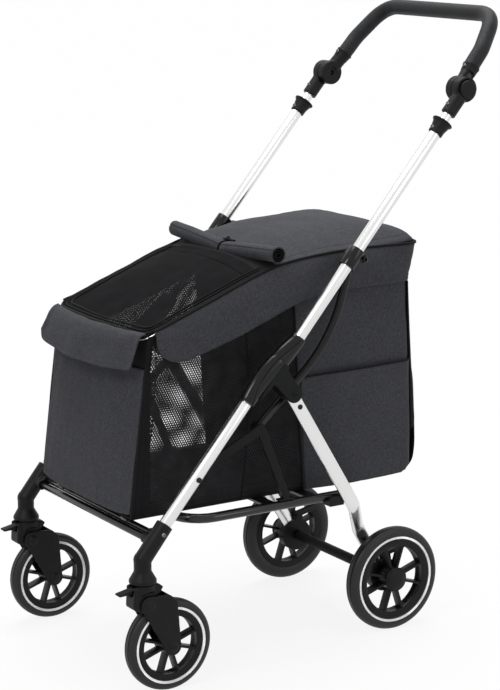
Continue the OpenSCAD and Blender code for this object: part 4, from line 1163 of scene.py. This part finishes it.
def lid_piece():
    """The net lid, the strip that stays behind it, and the pipings on both."""
    crown = ((-0.318, 0.003), (-0.26, 0.014), (-0.19, 0.0235), (-0.13, 0.0205), (-0.078, 0.013))

    def top(x_share, y, front_share):
        """A point of the lid; front_share runs from 0 at its front edge to 1 a little way behind it."""
        x = 0.1495 * x_share * (1 - 0.02 * (1 - front_share))
        z = top_edge(max(y, -0.3)) + 0.0028 + along(crown, y) * (1 - abs(x_share) ** 2.4)
        return x, y, z - 0.002 * (1 - front_share)

    def lid_surface(s, t):
        a = 2 * s - 1
        y_front = -0.2995 - 0.0165 * (1 - a * a)
        return top(a, y_front + (LID_SPLIT - y_front) * t, min(t / 0.06, 1))

    def strip_surface(s, t):
        return top(2 * s - 1, LID_SPLIT + 0.0006 + (-0.0785 - LID_SPLIT) * t, 1)

    def relief(u, v, width, length, p):
        d = min(u, width - u, v)
        edge = 0.0010 if d < 0.016 else 0.0
        return edge + rumple(p, 0.08, 0.0010, 7.7) * min(d / 0.03, 1)

    sheet = Cloth(lid_surface, 90, 60, relief)
    strip = Cloth(strip_surface, 90, 10, lambda u, v, width, length, p: relief(u, 1.0, width, length, p))
    border = 0.006 / 0.3

    def patch(s, t):
        return 1 if min(s, 1 - s) < border or t < 0.03 else 0

    def strip_patch(s, t):
        return 1 if min(s, 1 - s) < border or t > 0.8 else 0

    sewn(sheet.made("lid_net_panel", [lid_net, binding], NET_WALL, None, patch, rests_on=("lid",)),
         ("lid",), "lid")
    sewn(strip.made("lid_rear_strip", [lid_net, binding], NET_WALL, None, strip_patch, rests_on=("cabin_body",)))

    def perimeter(inset_s, inset_t, lift, corner=0.06, corner_t=0.07):
        line = [(inset_s, 1.0 - k / 40 * (1 - inset_t - corner_t)) for k in range(41)]
        line += [(inset_s + corner * (1 - math.cos(a)), inset_t + corner_t * (1 - math.sin(a)))
                 for a in evenly(0, math.pi / 2, 8)[1:]]
        line += [(inset_s + corner + (1 - 2 * (inset_s + corner)) * k / 40, inset_t) for k in range(1, 40)]
        line += [(1 - s, t) for s, t in reversed(line[:49])]
        return sheet.line(line, lift)

    pipings = (("edge", "edge_piping", 0.006, 0.0094, 0.0008, 0.0022),
               ("zip", "zip_coil", 0.030, 0.047, 0.0007, 0.0013),
               ("inner", "inner_piping", 0.052, 0.084, 0.0008, 0.0017))
    for short_name, _, inset, _, lift, size in pipings:
        for side, s in (("left", 1 - inset), ("right", inset)):
            run = strip.line(straight("s", s, 0, 1, 12), lift)
            cord(f"lid_strip_{short_name}_{side}", run, size, "mesh_fabric")
    for _, name, inset, inset_t, lift, size in pipings:
        cord(f"lid_{name}", perimeter(inset, inset_t, lift), size, "mesh_fabric", "lid")


def skirt_pieces():
    """Skirt round the sides and the back, the front flap and the wire that holds the front edge."""
    low_edge = ((-0.287, 0.5480), (-0.283, 0.5370), (-0.276, 0.5280), (-0.265, 0.5210), (-0.25, 0.5180),
                (-0.206, 0.5260), (-0.115, 0.5560), (-0.026, 0.5880), (0.033, 0.6010), (0.09, 0.6020),
                (0.204, 0.6020), (0.3, 0.6020))
    half, front_y, rear_y, corner = 0.153, -0.287, 0.2075, 0.016
    side_run = rear_y - front_y - corner
    arc = corner * math.pi / 2
    rear_run = 2 * (half - corner)
    total = 2 * side_run + 2 * arc + rear_run

    def plan(d):
        """Place and outward direction at distance d along the skirt, from the left front round the back."""
        if d > total / 2:
            p, n = plan(total - d)
            return Vector((-p.x, p.y, 0)), Vector((-n.x, n.y, 0))
        if d < side_run:
            return Vector((half, front_y + d, 0)), Vector((1, 0, 0))
        if d < side_run + arc:
            a = (d - side_run) / corner
            n = Vector((math.cos(a), math.sin(a), 0))
            return Vector((half - corner, rear_y - corner, 0)) + n * corner, n
        return Vector((half - corner - (d - side_run - arc), rear_y, 0)), Vector((0, 1, 0))

    flare = ((0, 0.0), (0.05, 0.0022), (0.15, 0.0052), (0.35, 0.0080), (0.7, 0.0098), (1, 0.0108))

    def surface(s, t):
        p, n = plan(total * (1 - s))
        lead = min(max((p.y - front_y) / 0.02, 0), 1)
        top = top_edge(p.y) + 0.0045 if p.y < 0.2 else 0.667
        bottom = along(low_edge, p.y)
        back = min(max((p.y - 0.09) / 0.1, 0), 1) ** 2
        out = along(flare, t) * (1 - back) + back * (0.0125 - 0.0125 * t)
        out *= 0.65 + 0.35 * lead
        wave = 0.0022 * t * math.sin(p.y * 31 + 1.1 + (p.x > 0) * 0.8) * math.sin(p.y * 12)
        return p.x + n.x * (out + wave), p.y + n.y * out, top + (bottom - top) * t

    def rumples(p, d):
        return rumple(p, 0.045, 0.0011, 3.9) + rumple(Vector((p.x, p.y, p.z * 3)), 0.05, 0.0008, 1.3)

    sheet = Cloth(surface, 260, 26, hemmed("lrt", 0.010, 0.0009, rumples=rumples))
    sewn(sheet.made("side_skirt", heather, CLOTH_WALL, lining, held="hung", rests_on=("cabin_body",)),
         nodes=("skirts",))
    for name, t in (("side_skirt_stitching", 0.86), ("side_skirt_stitching_low", 0.93)):
        stitched(name, sheet, straight("t", t, 0.012, 0.988, 300))
    for k, s in enumerate((0.008, 0.992)):
        stitched(f"side_skirt_end_stitching_{k}", sheet, straight("s", s, 0.1, 0.86, 9))
    cord("top_edge_piping", sheet.line(straight("t", 0.0, 0, 1, 240), 0.0004), 0.0024)

    profile_y = ((0, 0), (0.12, 0.009), (0.3, 0.0165), (0.6, 0.0235), (1, 0.0315))
    profile_z = ((0, 0), (0.12, 0.004), (0.3, 0.014), (0.6, 0.032), (1, 0.0545))

    def flap(s, t):
        a = 2 * s - 1
        x = 0.1475 * a * (1 + 0.035 * t)
        y_top = -0.3005 - 0.0165 * (1 - a * a)
        ends = max(0, (abs(a) - 0.90) / 0.10)
        drop = 0.0545 + 0.0065 * (1 - a * a) - 0.015 * (1 - math.sqrt(1 - ends * ends))
        y = y_top - along(profile_y, t) * (1 - 0.06 * abs(a))
        z = 0.5655 - along(profile_z, t) * drop / 0.0545
        return x, y + 0.0015 * math.sin(9 * a) * t, z

    front = Cloth(flap, 90, 26, hemmed("lrt", 0.010, 0.0009, rumples=rumples), flip=True)
    sewn(front.made("front_skirt", heather, CLOTH_WALL, lining, held="hung", rests_on=("cabin_body",)))
    stitched("front_skirt_stitching", front, straight("t", 0.84, 0.03, 0.97))
    for k, s in enumerate((0.032, 0.968)):
        stitched(f"front_skirt_end_stitching_{k}", front, straight("s", s, 0.1, 0.84, 12))
    wire = [(-0.1515, -0.262, 0.5735), (-0.1515, -0.2975, 0.5600), (-0.140, -0.3050, 0.5560), (0.0, -0.3130, 0.5560),
            (0.140, -0.3050, 0.5560), (0.1515, -0.2975, 0.5600), (0.1515, -0.262, 0.5735)]
    cord("edge_wire", rounded(wire, 0.008), 0.0011, "bolt_steel", finish=bright_wire)


def rolled_cover():
    """The weather cover, rolled up and tied behind the lid."""
    turns, outer, inner, steps, half = 3.3, 0.0128, 0.0030, 90, 0.163
    section = []
    for t in evenly(0, 1, steps):
        a = 2 * math.pi * turns * t + 0.6
        r = inner + (outer - inner) * min(t / 0.72, 1) + 0.0006 * max(t - 0.72, 0)
        section.append((math.cos(a) * r, math.sin(a) * r))

    def centre(x):
        a = abs(x) / half
        return Vector((x, -0.0640 - 0.002 * (1 - a) ** 2, 0.6585 + 0.0125 * a ** 0.85))

    def surface(s, t):
        x = half * (2 * t - 1)
        c = centre(x)
        tie = 1 - 0.14 * math.exp(-(x / 0.008) ** 2)
        p, q = section[min(int(round(s * steps)), steps)]
        wrinkle = 1 + 0.05 * noise.noise(Vector((x * 26, p * 70, q * 70)))
        return c.x, c.y + p * tie * wrinkle, c.z + q * tie * wrinkle

    sheet = Cloth(surface, steps, 80)
    roll = sheet.made("rolled_cover", [heather, lining], 0.0011, lining, lambda s, t: 0 if s > 0.62 else 1,
                      "gathered", ("canopy",))
    sewn(roll, nodes=("cover_roll",))

    def ring(middle, deep, tall, count):
        return [middle + Vector((0, math.cos(a) * deep, math.sin(a) * tall))
                for a in evenly(0, 2 * math.pi, count)[:-1]]

    def toggle_radius(t):
        return 0.0036 * max(0.25, math.sin(math.pi * min(max(t, 0.06), 0.94)) ** 0.35)

    cord("tie_band", ring(centre(0), 0.0118, 0.0118, 32), 0.0022, finish=webbing, closed=True, squeeze=0.45,
         up=(1, 0, 0))
    toggle = centre(0) + Vector((0.002, 0.009, 0.0145))
    bar = evenly(toggle + Vector((-0.017, 0, 0)), toggle + Vector((0.017, 0, 0.0005)), 12)
    cord("tie_toggle", bar, toggle_radius, finish=button_plastic, sides=12)
    cord("tie_loop", ring(toggle - Vector((0, 0.002, 0)), 0.004, 0.005, 20), 0.0011, finish=webbing, closed=True,
         up=(1, 0, 0))


front_panel()
for side, sign in SIDES:
    side_net_panel(side, sign)
    side_rear_panel(side, sign)
rear_panel()
cabin_floor()
padded_mat()
canopy_piece()
lid_piece()
skirt_pieces()
rolled_cover()

for piece in soft_pieces:
    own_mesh(piece)

# ---------------------------------------------------------------- studio


def studio():
    clear_choice()
    bpy.ops.mesh.primitive_plane_add(size=60, location=(0, 0, 0))
    ground = bpy.context.object
    ground.name = "studio_floor"
    paper = Finish("white_paper", (0.86, 0.86, 0.86), 0.9)

    def seen_in(finish):
        rays = finish.node("ShaderNodeLightPath").socket.node.outputs
        direct = Value(finish, rays["Is Camera Ray"])
        return direct.each("MAXIMUM", Value(finish, rays["Is Glossy Ray"])).each(
            "MAXIMUM", Value(finish, rays["Is Transmission Ray"]))

    glow = paper.node("ShaderNodeEmission", {}, {"Color": (1, 1, 1, 1), "Strength": 1.0})
    apart = paper.node("ShaderNodeVectorMath", {"operation": "LENGTH"}, {"Vector": paper.place()}, out=1)
    far = ((apart - 0.6) / 1.2).each("MAXIMUM", 0.0).each("MINIMUM", 1.0)
    blend = paper.node("ShaderNodeMixShader", {}, {0: seen_in(paper) * (far * 0.12 + 0.87), 2: glow})
    paper.tree.links.new(paper.shader.outputs[0], blend.socket.node.inputs[1])
    paper.tree.links.new(blend.socket, paper.tree.nodes["Material Output"].inputs[0])
    ground.data.materials.append(paper.material)

    world = bpy.data.worlds.new("studio_light")
    bpy.context.scene.world = world
    world.use_nodes = True
    sky = Finish.__new__(Finish)
    sky.tree = world.node_tree
    back_light = sky.tree.nodes["Background"]
    back_light.inputs["Color"].default_value = (1, 1, 1, 1)
    sky.tree.links.new((seen_in(sky) * 0.55 + 0.45).socket, back_light.inputs["Strength"])

    def softbox(name, place, aim, size, power):
        lamp = bpy.data.lights.new(name, "AREA")
        lamp.shape = "RECTANGLE"
        lamp.size, lamp.size_y, lamp.energy = size[0], size[1], power
        holder = bpy.data.objects.new(name, lamp)
        bpy.context.collection.objects.link(holder)
        holder.location = place
        holder.rotation_euler = (Vector(aim) - Vector(place)).to_track_quat("-Z", "Y").to_euler()

    softbox("key_softbox", (1.2, -2.6, 2.6), (0, 0, 0.5), (0.9, 0.9), 26)
    softbox("top_softbox", (-0.4, 0.2, 3.0), (0, 0, 0.4), (2.2, 2.2), 78)
    softbox("side_softbox", (3.0, 1.2, 1.6), (0, 0, 0.5), (1.0, 1.8), 12)

    camera = bpy.data.objects.new("camera", bpy.data.cameras.new("camera"))
    bpy.context.collection.objects.link(camera)
    camera.data.sensor_width = 36
    camera.data.lens = 110.0
    right = Vector((0.53599, 0.84423, 0)).normalized()
    back = Vector((0.82515, -0.52388, 0.21138)).normalized()
    up = back.cross(right)
    camera.matrix_world = Matrix(((right.x, up.x, back.x, 2.94403), (right.y, up.y, back.y, -1.88386),
                                  (right.z, up.z, back.z, 1.24262), (0, 0, 0, 1)))
    bpy.context.scene.camera = camera
    bpy.context.scene.view_settings.view_transform = "Standard"


studio()
